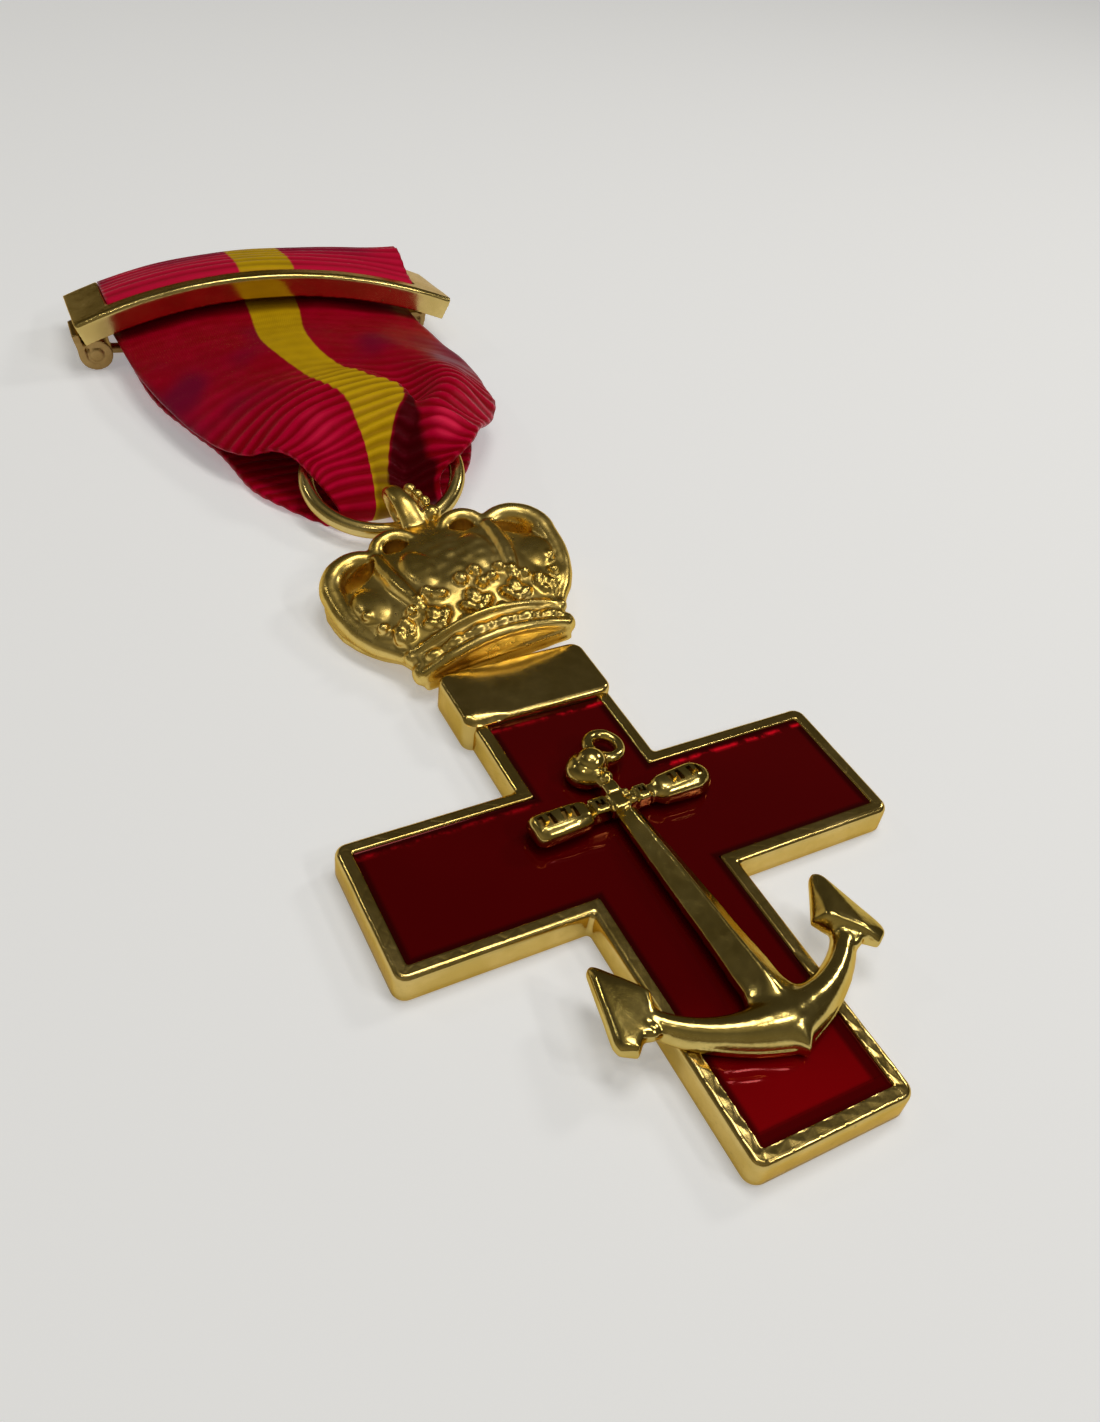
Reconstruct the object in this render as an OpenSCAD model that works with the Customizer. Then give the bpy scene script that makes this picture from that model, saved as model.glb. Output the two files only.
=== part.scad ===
// Merit cross that lies face up: a gilt Latin cross with red enamel and an anchor, a royal crown,
// a ring, a gathered ribbon and a bowed brooch bar.
// Millimetres. The origin is the centre of the crossing, on the cross's back. +Y runs from the
// cross to the brooch bar, and +Z is up from the back to the face.

/* [Cross] */
// Width of the cross over its side arms
cross_w = 30.5; // [28:0.5:33]
// Width of each arm over its rim
arm_w = 9.2; // [8:0.1:9.4]
// Length of the lower arm from the centre
foot_l = 19.4; // [18:0.1:22]
// Length of the upper arm from the centre, to the top of the tablet
head_l = 14.6; // [14:0.1:15]
// Thickness of the cross at its rim
cross_t = 1.9; // [1.6:0.1:2.2]
// Width of the rim
rim_w = 0.85; // [0.6:0.05:1.1]
// Depth of the sunk field under the rim
field_d = 0.8; // [0.5:0.1:1]
// How far the enamel lies under the rim
enamel_drop = 0.15; // [0.05:0.05:0.3]
// Length of the blank tablet along the upper arm
tablet_l = 4.8; // [4:0.1:5.5]
// Width of the tablet
tablet_w = 9.9; // [9.8:0.1:10.4]
// Height of the tablet's face over the cross's back
tablet_h = 2.35; // [2.3:0.05:2.6]

/* [Anchor] */
// Half the length of the stock
stock_half = 5.9; // [5.2:0.1:6.4]
// Length of the shank under the stock
shank_l = 14; // [13:0.5:15]
// Turn of the anchor on the cross, in degrees
anchor_turn = 2; // [0:0.5:3]

/* [Crown] */
// Width of the crown's base band
crown_base_w = 10.1; // [9.8:0.1:10.4]
// Thickness of the crown's flat rim
crown_rim_t = 1.2; // [1:0.1:1.6]
// Height of the crown's domed front over its back
crown_dome = 3.3; // [2.8:0.1:3.6]
// Tilt of the crown and the ring about the long axis, in degrees
crown_tilt = 8.5; // [7:0.5:9]

/* [Ring] */
// Outer diameter of the ring
ring_d = 12.1; // [11.9:0.1:12.2]
// Diameter of the ring's wire
ring_wire = 1.15; // [1:0.05:1.15]
// Slope of the ring from the crown up to the ribbon's fold, in degrees
ring_slope = 12; // [11:0.5:13]

/* [Ribbon] */
// Thickness of the gathered ribbon
ribbon_t = 1; // [0.9:0.05:1]
// Thickness of the ribbon over the bar's window, at its edges
pad_t = 1; // [1:0.05:1.2]

/* [Brooch bar] */
// Width of the brooch bar
bar_w = 32; // [31:0.5:32]
// Depth of the brooch bar
bar_d = 9.5; // [9.2:0.1:9.8]
// Height of the bar's walls
bar_wall_h = 2; // [1.9:0.1:2.1]
// Radius of the bar's bowed face
bar_bow_r = 44; // [43:0.5:46]
// Thickness of the bar's metal
bar_metal = 0.8; // [0.6:0.1:0.9]
// Width of the rails beside the window
bar_rail_w = 1.9; // [1.6:0.1:2.2]
// Diameter of the pin's rolled hinge
hinge_d = 2.2; // [2:0.1:2.3]
// Diameter of the pin's wire
pin_d = 0.9; // [0.7:0.1:1]

/* [Hidden] */
gilt = "#c9a84a";
deep_red = "#8e0a14";
ribbon_red = "#b3122c";
$fn = 64;
cut = 0.01;
fit_gap = 0.03;

// Cross
corner_r = 0.6;
rim_chamfer = 0.3;
tablet_chamfer = 0.25;
tablet_x = -0.15;
field_half = arm_w / 2 - rim_w;
field_top = head_l - tablet_l;
enamel_z = cross_t - enamel_drop;
field_z = cross_t - field_d;

// Anchor
anchor_x = 0.2;
anchor_z = cross_t + 0.02;
stock_y = 1.05;
stock_left_end = 5.65;
arm_y = -shank_l;
lump_lift = 0.4;
shank_lift = 0.3;
palm_lift = 0.3;
left_palm_out = 0.4;
anchor_fn = 20;

// Crown, in its own frame: its base at y = 0, its back at z = 0
crown_x = -0.25;
crown_y = head_l + 0.35;
crown_edge = 8.75;
band_h = 2.1;
outer_lobe = [5.35, 9.15];
outer_lobe_r = 2.25;
outer_arch_r = 0.75;
inner_lobe = [2.4, 10.9];
inner_lobe_r = 1.3;
inner_arch_r = 0.6;
orb = [0.9, 13.7, 2.2];
orb_r = 0.9;
loop_y = 15.6;
loop_z = 0.85;
loop_hole_r = 1.2;
loop_wire_r = 0.4;

// Ring
ring_r = (ring_d - ring_wire) / 2;
ring_pos = [-0.25, 35.8, 2.85];

// Brooch bar, in its own frame: the near edge at y = 0, the ends of the face at z = 0
bar_pos = [-0.67, 59.75, 4.5];
bar_pitch = 9.7;
bar_yaw = -4;
end_block_w = 2.8;
bar_half_a = asin(bar_w / 2 / bar_bow_r);
window_half_a = asin((bar_w / 2 - end_block_w) / bar_bow_r);
end_wall_a = asin(bar_metal / bar_bow_r);
bow_rise = bar_bow_r * (1 - cos(bar_half_a));
pin_x = 14.35;
catch_x = 13.6;
pin_y = 3.3;

// Ribbon over the bar's window, which covers the lower far rail
pad_gap = 0.06;
pad_near_top = 0.1;
pad_far_top = -0.25;
pad_bulge = 0.15;
pad_corner_lift = 1.7;
pad_rows = 24;
pad_across = 8;
pad_foot = pad_far_top - pad_t;
far_rail_h = bar_wall_h + pad_foot - pad_gap;

// Plan of a rectangle with rounded corners, from two corners and a radius
module rounded_plan(low, high, r) {
    size = high - low;
    translate(low + [r, 0]) square([size.x - 2 * r, size.y]);
    translate(low + [0, r]) square([size.x, size.y - 2 * r]);
    for (x = [low.x + r, high.x - r], y = [low.y + r, high.y - r])
        translate([x, y]) circle(r);
}

// Section of a bar of half width w and height h with two cut edges c
module cut_edge_section(w, h, c) {
    polygon([[-w, 0], [w, 0], [w, h - c], [w - c, h], [c - w, h], [-w, h - c]]);
}

// Flat bar with rounded corners in plan and cut edges all round its face
module cut_edge_bar(low, high, h, c) {
    mid = (low + high) / 2;
    half = (high - low) / 2;
    intersection() {
        linear_extrude(h) rounded_plan(low, high, corner_r);
        translate([mid.x, high.y + 1, 0]) rotate([90, 0, 0])
            linear_extrude(2 * half.y + 2) cut_edge_section(half.x, h, c);
        translate([low.x - 1, mid.y, 0]) rotate([90, 0, 90])
            linear_extrude(2 * half.x + 2) cut_edge_section(half.y, h, c);
    }
}

// Plan of the sunk field, made smaller all round by a gap
module field_plan(gap) {
    side = cross_w / 2 - rim_w - gap;
    half = field_half - gap;
    foot = foot_l - rim_w - gap;
    translate([-side, -half]) square([2 * side, 2 * half]);
    translate([-half, -foot]) square([2 * half, foot + field_top - gap]);
}

module cross_frame() {
    color(gilt) difference() {
        union() {
            cut_edge_bar([-arm_w / 2, -foot_l], [arm_w / 2, head_l], cross_t, rim_chamfer);
            cut_edge_bar([-cross_w / 2, -arm_w / 2], [cross_w / 2, arm_w / 2], cross_t, rim_chamfer);
            cut_edge_bar([tablet_x - tablet_w / 2, field_top], [tablet_x + tablet_w / 2, head_l],
                         tablet_h, tablet_chamfer);
        }
        translate([0, 0, field_z]) linear_extrude(field_d + 1) field_plan(0);
    }
}

module enamel() {
    color(deep_red) translate([0, 0, field_z])
        linear_extrude(enamel_z - field_z) field_plan(fit_gap);
}

// Rounded lump of cast metal at a point, with its half width and its height
module lump(at, w, h) {
    translate([at.x, at.y, lump_lift]) scale([w, w, h - lump_lift]) sphere(1, $fn = anchor_fn);
}

// Ridged bar along Y: from a narrow end to a wide one, with a low edge and a high ridge
module ridged_bar(from_y, from_half, from_h, to_y, to_half, to_h) {
    edge = [cut, 0, 0.5];
    for_ends = [[from_y, from_half, from_h], [to_y, to_half, to_h]];
    hull() for (e = for_ends) {
        translate([-e[1], e[0], shank_lift]) cube([2 * e[1], edge.x, edge.z]);
        translate([-e[1] / 8, e[0], shank_lift]) cube([e[1] / 4, edge.x, e[2] - shank_lift]);
    }
}

// Arm of the anchor: a row for each section
ARM_X = 0;
ARM_Y = 1;
ARM_W = 2;
ARM_H = 3;
arm_rows = [
    // x, y from the shank's foot, half width, height
    [0.0, -0.1, 1.55, 1.75],
    [1.9, 0.25, 1.2, 1.6],
    [3.6, 0.9, 0.9, 1.4],
    [5.1, 1.9, 0.75, 1.25],
    [6.2, 3.2, 0.6, 1.1],
];

// One arm with its palm, which lies further out by a distance
module anchor_arm(out) {
    for (i = [0:len(arm_rows) - 2]) hull() for (row = [arm_rows[i], arm_rows[i + 1]])
        lump([row[ARM_X], arm_y + row[ARM_Y]], row[ARM_W], row[ARM_H]);
    translate([out, arm_y, palm_lift]) hull() {
        linear_extrude(0.5) polygon([[6.9, 6.7], [4.7, 3.9], [5.2, 3.0], [7.1, 1.4], [7.9, 2.2]]);
        linear_extrude(1.1) polygon([[6.8, 5.9], [5.9, 2.9], [6.5, 2.7]]);
    }
}

// One half of the stock, cut square at its end, with square marks sunk in its face
module anchor_stock_half(end) {
    difference() {
        intersection() {
            hull() {
                lump([1.7, stock_y], 0.6, 1.15);
                lump([stock_half - 0.9, stock_y], 0.95, 1.4);
                lump([stock_half - 0.45, stock_y], 0.8, 1.3);
            }
            translate([0, -5, 0]) cube([end, 10, 4]);
        }
        for (x = [2.4, 3.6, 4.8]) translate([x, stock_y, 1.6]) cube([0.55, 0.5, 0.8], center = true);
    }
}

module anchor() {
    color(gilt) translate([anchor_x, 0, anchor_z]) rotate([0, 0, anchor_turn])
    intersection() {
        union() {
            for (side = [0, 1]) mirror([side, 0, 0]) {
                anchor_arm(side * left_palm_out);
                anchor_stock_half(side ? stock_left_end : stock_half + 1);
            }
            hull() {
                lump([0, arm_y - 0.4], 1.1, 1.5);
                lump([0, arm_y - 1.55], 0.2, 0.9);
            }
            ridged_bar(stock_y, 0.6, 1.3, arm_y + 2.4, 1.1, 1.55);
            ridged_bar(arm_y + 2.6, 1.1, 1.55, arm_y + 0.6, 1.9, 1.7);
            hull() {
                lump([-1.9, stock_y], 0.5, 0.9);
                lump([1.9, stock_y], 0.5, 0.9);
            }
            lump([0, stock_y], 0.95, 1.4);
            lump([0, 2.35], 0.75, 1.1);
            lump([-0.3, 4.2], 1.3, 1.6);
            hull() {
                lump([0, 2.3], 0.5, 0.9);
                lump([-0.2, 4], 0.6, 0.9);
            }
            translate([1.2, 4.9, 0.75]) rotate([0, -10, 0])
                rotate_extrude($fn = anchor_fn) translate([0.9, 0]) circle(0.42, $fn = 14);
        }
        translate([-12, -20, 0]) cube([24, 30, 4]);
    }
}

// Arch over a lobe of the crown: a round bar bent to a circle, tipped with the dome
module lobe_arch(at, r, bar_r, z, tip) {
    translate([at.x, at.y, z]) rotate([0, tip, 0])
        rotate_extrude() translate([r, 0]) circle(bar_r, $fn = 24);
}

// Plan of the crown's pierced body
module crown_plan() {
    half = crown_base_w / 2;
    polygon([[-half, 0], [half, 0], [half + 0.15, 2.1], [6.4, 3.5], [7.6, 5.3], [8.3, 7.3], [8.35, 9],
             [4.5, 12], [0, 13.4], [-4.5, 12], [-8.35, 9], [-8.3, 7.3], [-7.6, 5.3], [-6.4, 3.5],
             [-half - 0.15, 2.1]]);
    for (side = [-1, 1]) {
        translate([side * outer_lobe.x, outer_lobe.y]) circle(outer_lobe_r + 0.3);
        translate([side * inner_lobe.x, inner_lobe.y]) circle(inner_lobe_r + 0.3);
    }
}

// Openings under the crown's arches
module crown_openings() {
    for (side = [-1, 1]) {
        translate([side * 5.6, 10.15]) rotate(side * -30) scale([1.25, 0.65]) circle(1, $fn = 24);
        translate([side * inner_lobe.x, inner_lobe.y + 0.1]) scale([0.75, 0.6]) circle(1, $fn = 24);
    }
}

// Loop for the ring: a ring on edge at the crown's top, with its hole along X
module crown_loop() {
    translate([0, loop_y, loop_z]) rotate([0, 90, 0])
        rotate_extrude() translate([loop_hole_r + loop_wire_r, 0]) circle(loop_wire_r, $fn = 24);
}

// Puts a piece of the crown in its place, tilted on its left edge
module crown_place() {
    translate([crown_x - crown_edge, crown_y, 0]) rotate([0, -crown_tilt, 0])
        translate([crown_edge, 0, 0]) children();
}

module crown() {
    dome_r = (crown_edge * crown_edge + pow(crown_dome - crown_rim_t, 2))
           / (2 * (crown_dome - crown_rim_t));
    color(gilt) crown_place() {
        difference() {
            union() {
                linear_extrude(crown_rim_t) crown_plan();
                intersection() {
                    translate([0, 0, 0.5]) linear_extrude(crown_dome) crown_plan();
                    translate([0, 7.2, crown_dome - dome_r]) sphere(dome_r, $fn = 128);
                }
                intersection() {
                    translate([0, 0, 0.2]) linear_extrude(4) translate([-crown_base_w / 2, 0])
                        square([crown_base_w, band_h]);
                    translate([0, 5, crown_dome - 9]) rotate([90, 0, 0]) cylinder(h = 10, r = 9);
                }
                for (side = [0, 1]) mirror([side, 0, 0]) {
                    lobe_arch(outer_lobe, outer_lobe_r, outer_arch_r, 1.4, 14);
                    lobe_arch(inner_lobe, inner_lobe_r, inner_arch_r, 2.1, 8);
                    translate([7.1, 6, 1.5]) sphere(0.7, $fn = 24);
                    translate([crown_base_w / 2 - 0.35, 0.9, 0.9]) sphere(0.6, $fn = 24);
                }
                translate([0, 4.6, crown_dome - 0.3]) sphere(0.9, $fn = 24);
                for (a = [0:72:359])
                    translate([1.25 * sin(a), 4.6 + 1.25 * cos(a), crown_dome - 0.35])
                        sphere(0.6, $fn = 20);
                for (x = [-3.6, -1.8, 0, 1.8, 3.6])
                    translate([x, 1.1, crown_dome - 0.2 - x * x / 18]) sphere(0.5, $fn = 20);
                translate([0, 12.8, 1.2]) rotate([-90, 0, 0]) cylinder(h = 1.8, r = 0.9, $fn = 24);
                translate(orb) sphere(orb_r, $fn = 24);
                translate(orb) rotate([-90, 0, 0]) cylinder(h = 2.4, r = 0.4, $fn = 16);
                translate(orb + [0, 1.6, 0]) rotate([0, 90, 0])
                    cylinder(h = 1.8, r = 0.35, $fn = 16, center = true);
            }
            translate([0, 0, -1]) linear_extrude(8) crown_openings();
        }
        crown_loop();
    }
}

module ring() {
    color(gilt) translate(ring_pos) rotate([ring_slope, -crown_tilt, 0])
        rotate_extrude($fn = 96) translate([ring_r, 0]) circle(ring_wire / 2, $fn = 32);
}

// Closed solid between a lower and an upper grid of points, with rows of across + 1 points
module slab(lower, upper, rows, across) {
    wide = across + 1;
    above = (rows + 1) * wide;
    bottom = [for (j = [0:rows - 1], i = [0:across - 1]) let (k = j * wide + i)
        each [[k, k + wide, k + wide + 1], [k, k + wide + 1, k + 1]]];
    top = [for (f = bottom) [f[2] + above, f[1] + above, f[0] + above]];
    sides = [for (j = [0:rows - 1], i = [0, across]) let (k = j * wide + i, l = k + wide)
        each i == 0 ? [[k, k + above, l + above], [k, l + above, l]]
                    : [[k, l + above, k + above], [k, l, l + above]]];
    ends = [for (j = [0, rows], i = [0:across - 1]) let (k = j * wide + i, l = k + 1)
        each j == 0 ? [[k, l + above, k + above], [k, l, l + above]]
                    : [[k, k + above, l + above], [k, l + above, l]]];
    polyhedron(concat(lower, upper), concat(bottom, top, sides, ends));
}

// Ribbon: a row for each section along the strip, from the bar over the ring, through it and back.
// Each row has the place along Y at x = 0, the slant and the bow of the section, then x and z of
// seven points across: left edge and lobe, left and right side of the stripe, valley, right lobe
// and edge
ROW_Y = 0;
ROW_SLANT = 1;
ROW_BOW = 2;
ROW_FIRST = 3;
ribbon_rows = [
    // y, slant, bow, left edge, left lobe, stripe left, stripe right, valley, right lobe, right edge
    [62.3, -0.07, 0, [-13.5, 2.5], [-7.9, 3.6], [-2.7, 4.2], [1.7, 4.2], [4.0, 4.0], [8.0, 3.4], [12.2, 2.4]],
    [60.0, -0.07, 0, [-13.4, 2.6], [-7.9, 3.9], [-2.6, 4.4], [1.6, 4.4], [3.9, 4.2], [7.6, 3.6], [12.2, 2.6]],
    [54.0, -0.05, 0, [-13.0, 2.4], [-8.0, 3.7], [-3.2, 4.4], [0.5, 4.5], [3.6, 4.3], [8.0, 3.8], [12.9, 2.4]],
    [49.5, -0.02, 0, [-12.1, 2.3], [-7.2, 3.7], [-2.0, 4.4], [1.6, 4.1], [4.7, 4.2], [8.9, 4.2], [13.2, 2.5]],
    [45.8, 0, 0, [-11.0, 2.2], [-6.2, 4.4], [-1.4, 5.3], [3.4, 5.3], [5.6, 4.6], [8.8, 5.2], [12.7, 2.7]],
    [42.6, 0, 0, [-9.6, 2.4], [-5.2, 5.0], [-0.6, 5.6], [4.2, 5.6], [5.4, 4.9], [7.9, 5.6], [12.1, 2.8]],
    [40.9, -0.05, 0, [-8.5, 2.6], [-4.6, 5.1], [-0.6, 5.5], [3.4, 5.8], [4.6, 5.4], [6.9, 5.8], [10.8, 3.0]],
    [39.6, -0.1, 0, [-7.4, 3.3], [-4.0, 4.9], [-0.8, 5.2], [2.3, 5.6], [3.8, 5.7], [5.7, 6.0], [9.4, 3.7]],
    [38.0, -0.15, 0, [-6.4, 3.8], [-3.4, 4.4], [-0.8, 4.2], [1.0, 4.2], [2.5, 4.2], [4.9, 5.8], [8.0, 4.8]],
    [36.0, -0.25, 0, [-5.4, 3.9], [-3.2, 3.3], [-1.0, 3.0], [0.1, 3.0], [1.4, 2.4], [3.4, 4.0], [6.0, 5.3]],
    [34.2, -0.15, 0, [-3.6, 2.4], [-2.7, 2.3], [-1.7, 2.2], [-0.5, 2.2], [0.7, 2.0], [2.0, 2.6], [3.1, 3.6]],
    [33.2, -0.08, 0.02, [-3.4, 1.4], [-2.6, 1.4], [-1.8, 1.4], [-0.6, 1.4], [0.6, 1.4], [1.9, 1.4], [3.2, 1.5]],
    [33.9, 0, 0.02, [-4.3, 0.6], [-3.2, 0.6], [-2.1, 0.6], [-0.5, 0.6], [1.0, 0.6], [2.6, 0.6], [4.0, 0.6]],
    [38.2, 0, 0, [-7.8, 0.52], [-5.1, 0.52], [-2.1, 0.52], [0.4, 0.52], [2.5, 0.52], [5.0, 0.52], [7.9, 0.52]],
    [46.0, 0, 0, [-9.7, 0.52], [-6.5, 0.52], [-2.5, 0.52], [1.0, 0.52], [3.6, 0.52], [7.3, 0.52], [11, 0.52]],
    [54.5, -0.04, 0, [-12.3, 0.6], [-8.0, 0.6], [-2.9, 0.6], [1.4, 0.6], [4.2, 0.6], [8.4, 0.6], [12, 0.6]],
    [59.8, -0.07, 0, [-12.8, 1.2], [-8.1, 1.2], [-3.0, 1.2], [1.5, 1.2], [4.1, 1.2], [8.2, 1.2], [11.5, 1.2]],
    [61.6, -0.07, 0, [-12.8, 1.3], [-8.1, 1.3], [-3.0, 1.3], [1.5, 1.3], [4.1, 1.3], [8.2, 1.3], [11.5, 1.3]],
];
ribbon_across = 24;
ribbon_steps = 3;
last_row = len(ribbon_rows) - 1;
last_point = len(ribbon_rows[0]) - 1 - ROW_FIRST;

// Smooth curve through four values, at a share t of the way from the second to the third
function smooth(a, b, c, d, t) =
    b + t * (c - a) / 2 + t * t * (a - 2.5 * b + 2 * c - d / 2)
      + t * t * t * (1.5 * (b - c) + (d - a) / 2);

// Point of row i at a share s across it, as x, y and z
function row_point(i, s) =
    let (row = ribbon_rows[max(0, min(last_row, i))], g = s * last_point,
         k = min(last_point - 1, floor(g)), p = [for (n = [k - 1:k + 2])
             row[ROW_FIRST + max(0, min(last_point, n))]],
         q = smooth(p[0], p[1], p[2], p[3], g - k))
    [q.x, row[ROW_Y] + row[ROW_SLANT] * q.x + row[ROW_BOW] * q.x * q.x, q.y];

// Middle of the cloth at a place v along the rows and a share s across
function cloth(v, s) =
    let (i = min(last_row - 1, floor(v)))
    smooth(row_point(i - 1, s), row_point(i, s), row_point(i + 1, s), row_point(i + 2, s), v - i);

// Direction that the cloth's face looks in
function cloth_face(v, s) =
    let (d = 0.04, a = cloth(min(last_row, v + d), s) - cloth(max(0, v - d), s),
         b = cloth(v, min(1, s + d / 4)) - cloth(v, max(0, s - d / 4)), n = cross(a, b))
    n / norm(n);

// One face of the ribbon as a grid of points: 1 for its outer face, -1 for its inner one
function ribbon_grid(face) =
    [for (j = [0:last_row * ribbon_steps], i = [0:ribbon_across])
        let (v = j / ribbon_steps, s = i / ribbon_across)
        cloth(v, s) + face * ribbon_t / 2 * cloth_face(v, s)];

module ribbon() {
    color(ribbon_red)
        slab(ribbon_grid(-1), ribbon_grid(1), last_row * ribbon_steps, ribbon_across);
}

// Puts a piece of the brooch bar in its place
module bar_place() {
    translate(bar_pos) rotate([-bar_pitch, 0, bar_yaw]) children();
}

// Bends a section round the bar's bow: x of the section is the radius, y the depth of the bar
module bowed(from, to) {
    translate([0, 0, bow_rise - bar_bow_r]) rotate([-90, -90, 0]) rotate([0, 0, from])
        rotate_extrude(angle = to - from, $fn = 256) children();
}

// Ring section of the bar, from one radius to another and from one depth to another
module bar_section(r0, r1, y0, y1) {
    translate([r0, y0]) square([r1 - r0, y1 - y0]);
}

module bar_frame() {
    r = bar_bow_r;
    foot = r - bar_wall_h;
    wall_a = bar_half_a - end_wall_a;
    color(gilt) bar_place() {
        difference() {
            bowed(-bar_half_a, bar_half_a)
                polygon([[foot, 0], [r - 0.35, 0], [r, 0.35], [r, bar_d], [foot, bar_d]]);
            bowed(-wall_a, wall_a) bar_section(foot - 1, r - bar_metal, bar_metal, bar_d + 1);
            bowed(-window_half_a, window_half_a)
                bar_section(r - bar_metal - 0.5, r + 1, bar_rail_w, bar_d + 1);
        }
        // Low far rail, which the ribbon covers
        bowed(-wall_a - 0.4, wall_a + 0.4)
            bar_section(foot + 0.03, foot + far_rail_h, bar_d - bar_rail_w, bar_d - 0.03);
    }
}

// Point of the ribbon over the window: shares u along the bar and w across it, and a lift
function pad_point(u, w, lift) =
    let (a = (2 * u - 1) * (window_half_a - 0.1), r = bar_bow_r + lift,
         near = bar_rail_w + pad_gap)
    [r * sin(a), near + w * (bar_d - 0.1 - near), r * cos(a) + bow_rise - bar_bow_r];

// Lift of the ribbon's face over the window: it bulges, and stands up at its far right corner
function pad_lift(u, w) =
    pad_near_top + w * (pad_far_top - pad_near_top + pad_corner_lift * pow(u, 5))
    + pad_bulge * (1 - pow(2 * w - 1, 2));

module bar_ribbon() {
    shares = [for (j = [0:pad_rows], i = [0:pad_across]) [j / pad_rows, i / pad_across]];
    upper = [for (p = shares) pad_point(p[0], p[1], pad_lift(p[0], p[1]))];
    lower = [for (p = shares) pad_point(p[0], p[1], pad_foot)];
    color(ribbon_red) bar_place() slab(lower, upper, pad_rows, pad_across);
}

module brooch_pin() {
    roll_r = hinge_d / 2;
    color(gilt) translate([bar_pos.x, bar_pos.y, 0]) rotate([0, 0, bar_yaw]) {
        difference() {
            translate([-pin_x, 0.9, roll_r]) rotate([-90, 0, 0]) cylinder(h = 2.7, r = roll_r);
            translate([-pin_x, 0.9 - cut, roll_r]) rotate([-90, 0, 0])
                cylinder(h = 1.4, r = roll_r - 0.45);
        }
        difference() {
            translate([catch_x, 3.2, roll_r]) rotate([-90, 0, 0]) cylinder(h = 2.4, r = roll_r);
            translate([catch_x, 3.2 - cut, roll_r]) rotate([-90, 0, 0])
                cylinder(h = 0.5, r = roll_r - 0.45);
        }
        translate([-pin_x, pin_y, roll_r / 2]) rotate([0, 90, 0])
            cylinder(h = pin_x + catch_x, r = pin_d / 2);
    }
}

cross_frame();
enamel();
anchor();
crown();
ring();
ribbon();
bar_frame();
bar_ribbon();
brooch_pin();
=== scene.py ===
"""Looks of a merit cross that lies face up on a pale floor.

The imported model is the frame. Every piece here is built in millimetres in the frame's own
directions and is then brought to metres, so each one lies where its solid lies.
"""

from __future__ import annotations

import logging
import math
from dataclasses import dataclass
from enum import Enum
from typing import Callable, Sequence

import bmesh
import bpy
import numpy as np
from mathutils import Matrix, Vector

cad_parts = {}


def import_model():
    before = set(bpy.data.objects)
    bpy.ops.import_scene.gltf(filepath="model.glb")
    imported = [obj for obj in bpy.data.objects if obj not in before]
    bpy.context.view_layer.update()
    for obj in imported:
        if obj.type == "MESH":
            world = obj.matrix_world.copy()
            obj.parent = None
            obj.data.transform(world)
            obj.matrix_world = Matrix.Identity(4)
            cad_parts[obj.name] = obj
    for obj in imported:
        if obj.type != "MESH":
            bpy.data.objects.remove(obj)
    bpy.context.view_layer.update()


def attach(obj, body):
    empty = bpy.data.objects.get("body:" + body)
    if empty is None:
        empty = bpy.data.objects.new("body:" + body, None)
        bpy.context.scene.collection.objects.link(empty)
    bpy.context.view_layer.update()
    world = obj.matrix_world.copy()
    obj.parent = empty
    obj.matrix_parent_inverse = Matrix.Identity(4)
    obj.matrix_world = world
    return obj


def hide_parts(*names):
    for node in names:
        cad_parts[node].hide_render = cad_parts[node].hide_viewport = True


log = logging.getLogger("merit_cross")
MM = 0.001
TURN = 2 * math.pi
UP = (0.0, 0.0, 1.0)
# Length of one rib of the ribbon and width of its flat strip, in millimetres
RIB = 1.12
Points = np.ndarray
Colour = tuple[float, float, float]
Place = tuple[float, float, float]


# Shader maths


class Shade:
    """A socket of a node tree that takes part in expressions."""

    def __init__(self, net: "Net", socket: bpy.types.NodeSocket) -> None:
        """Keeps the net and the socket."""
        self.net = net
        self.socket = socket

    def _math(self, operation: str, *values: "Shade | float") -> "Shade":
        """Adds a Math node.

        Args:
            operation: The node's operation.
            values: Its inputs in order.

        Returns:
            The node's value.
        """
        return self.net.node("ShaderNodeMath", {"operation": operation}, dict(enumerate(values)))

    def __add__(self, other: "Shade | float") -> "Shade":
        """Sum."""
        return self._math("ADD", self, other)

    __radd__ = __add__

    def __sub__(self, other: "Shade | float") -> "Shade":
        """Difference."""
        return self._math("SUBTRACT", self, other)

    def __rsub__(self, other: "Shade | float") -> "Shade":
        """Difference with a number first."""
        return self._math("SUBTRACT", other, self)

    def __mul__(self, other: "Shade | float") -> "Shade":
        """Product."""
        return self._math("MULTIPLY", self, other)

    __rmul__ = __mul__

    def sine(self) -> "Shade":
        """Sine of the value."""
        return self._math("SINE", self)

    def least(self, other: "Shade | float") -> "Shade":
        """Smaller of two values."""
        return self._math("MINIMUM", self, other)

    def most(self, other: "Shade | float") -> "Shade":
        """Larger of two values."""
        return self._math("MAXIMUM", self, other)

    def step(self, low: float, high: float) -> "Shade":
        """Smooth step.

        Args:
            low: Value at which the step starts.
            high: Value at which it ends.

        Returns:
            0 below low, 1 above high, and a smooth rise between them.
        """
        return self.net.node(
            "ShaderNodeMapRange",
            {"interpolation_type": "SMOOTHSTEP"},
            {"Value": self, "From Min": low, "From Max": high, "To Min": 0.0, "To Max": 1.0},
        )


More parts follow.
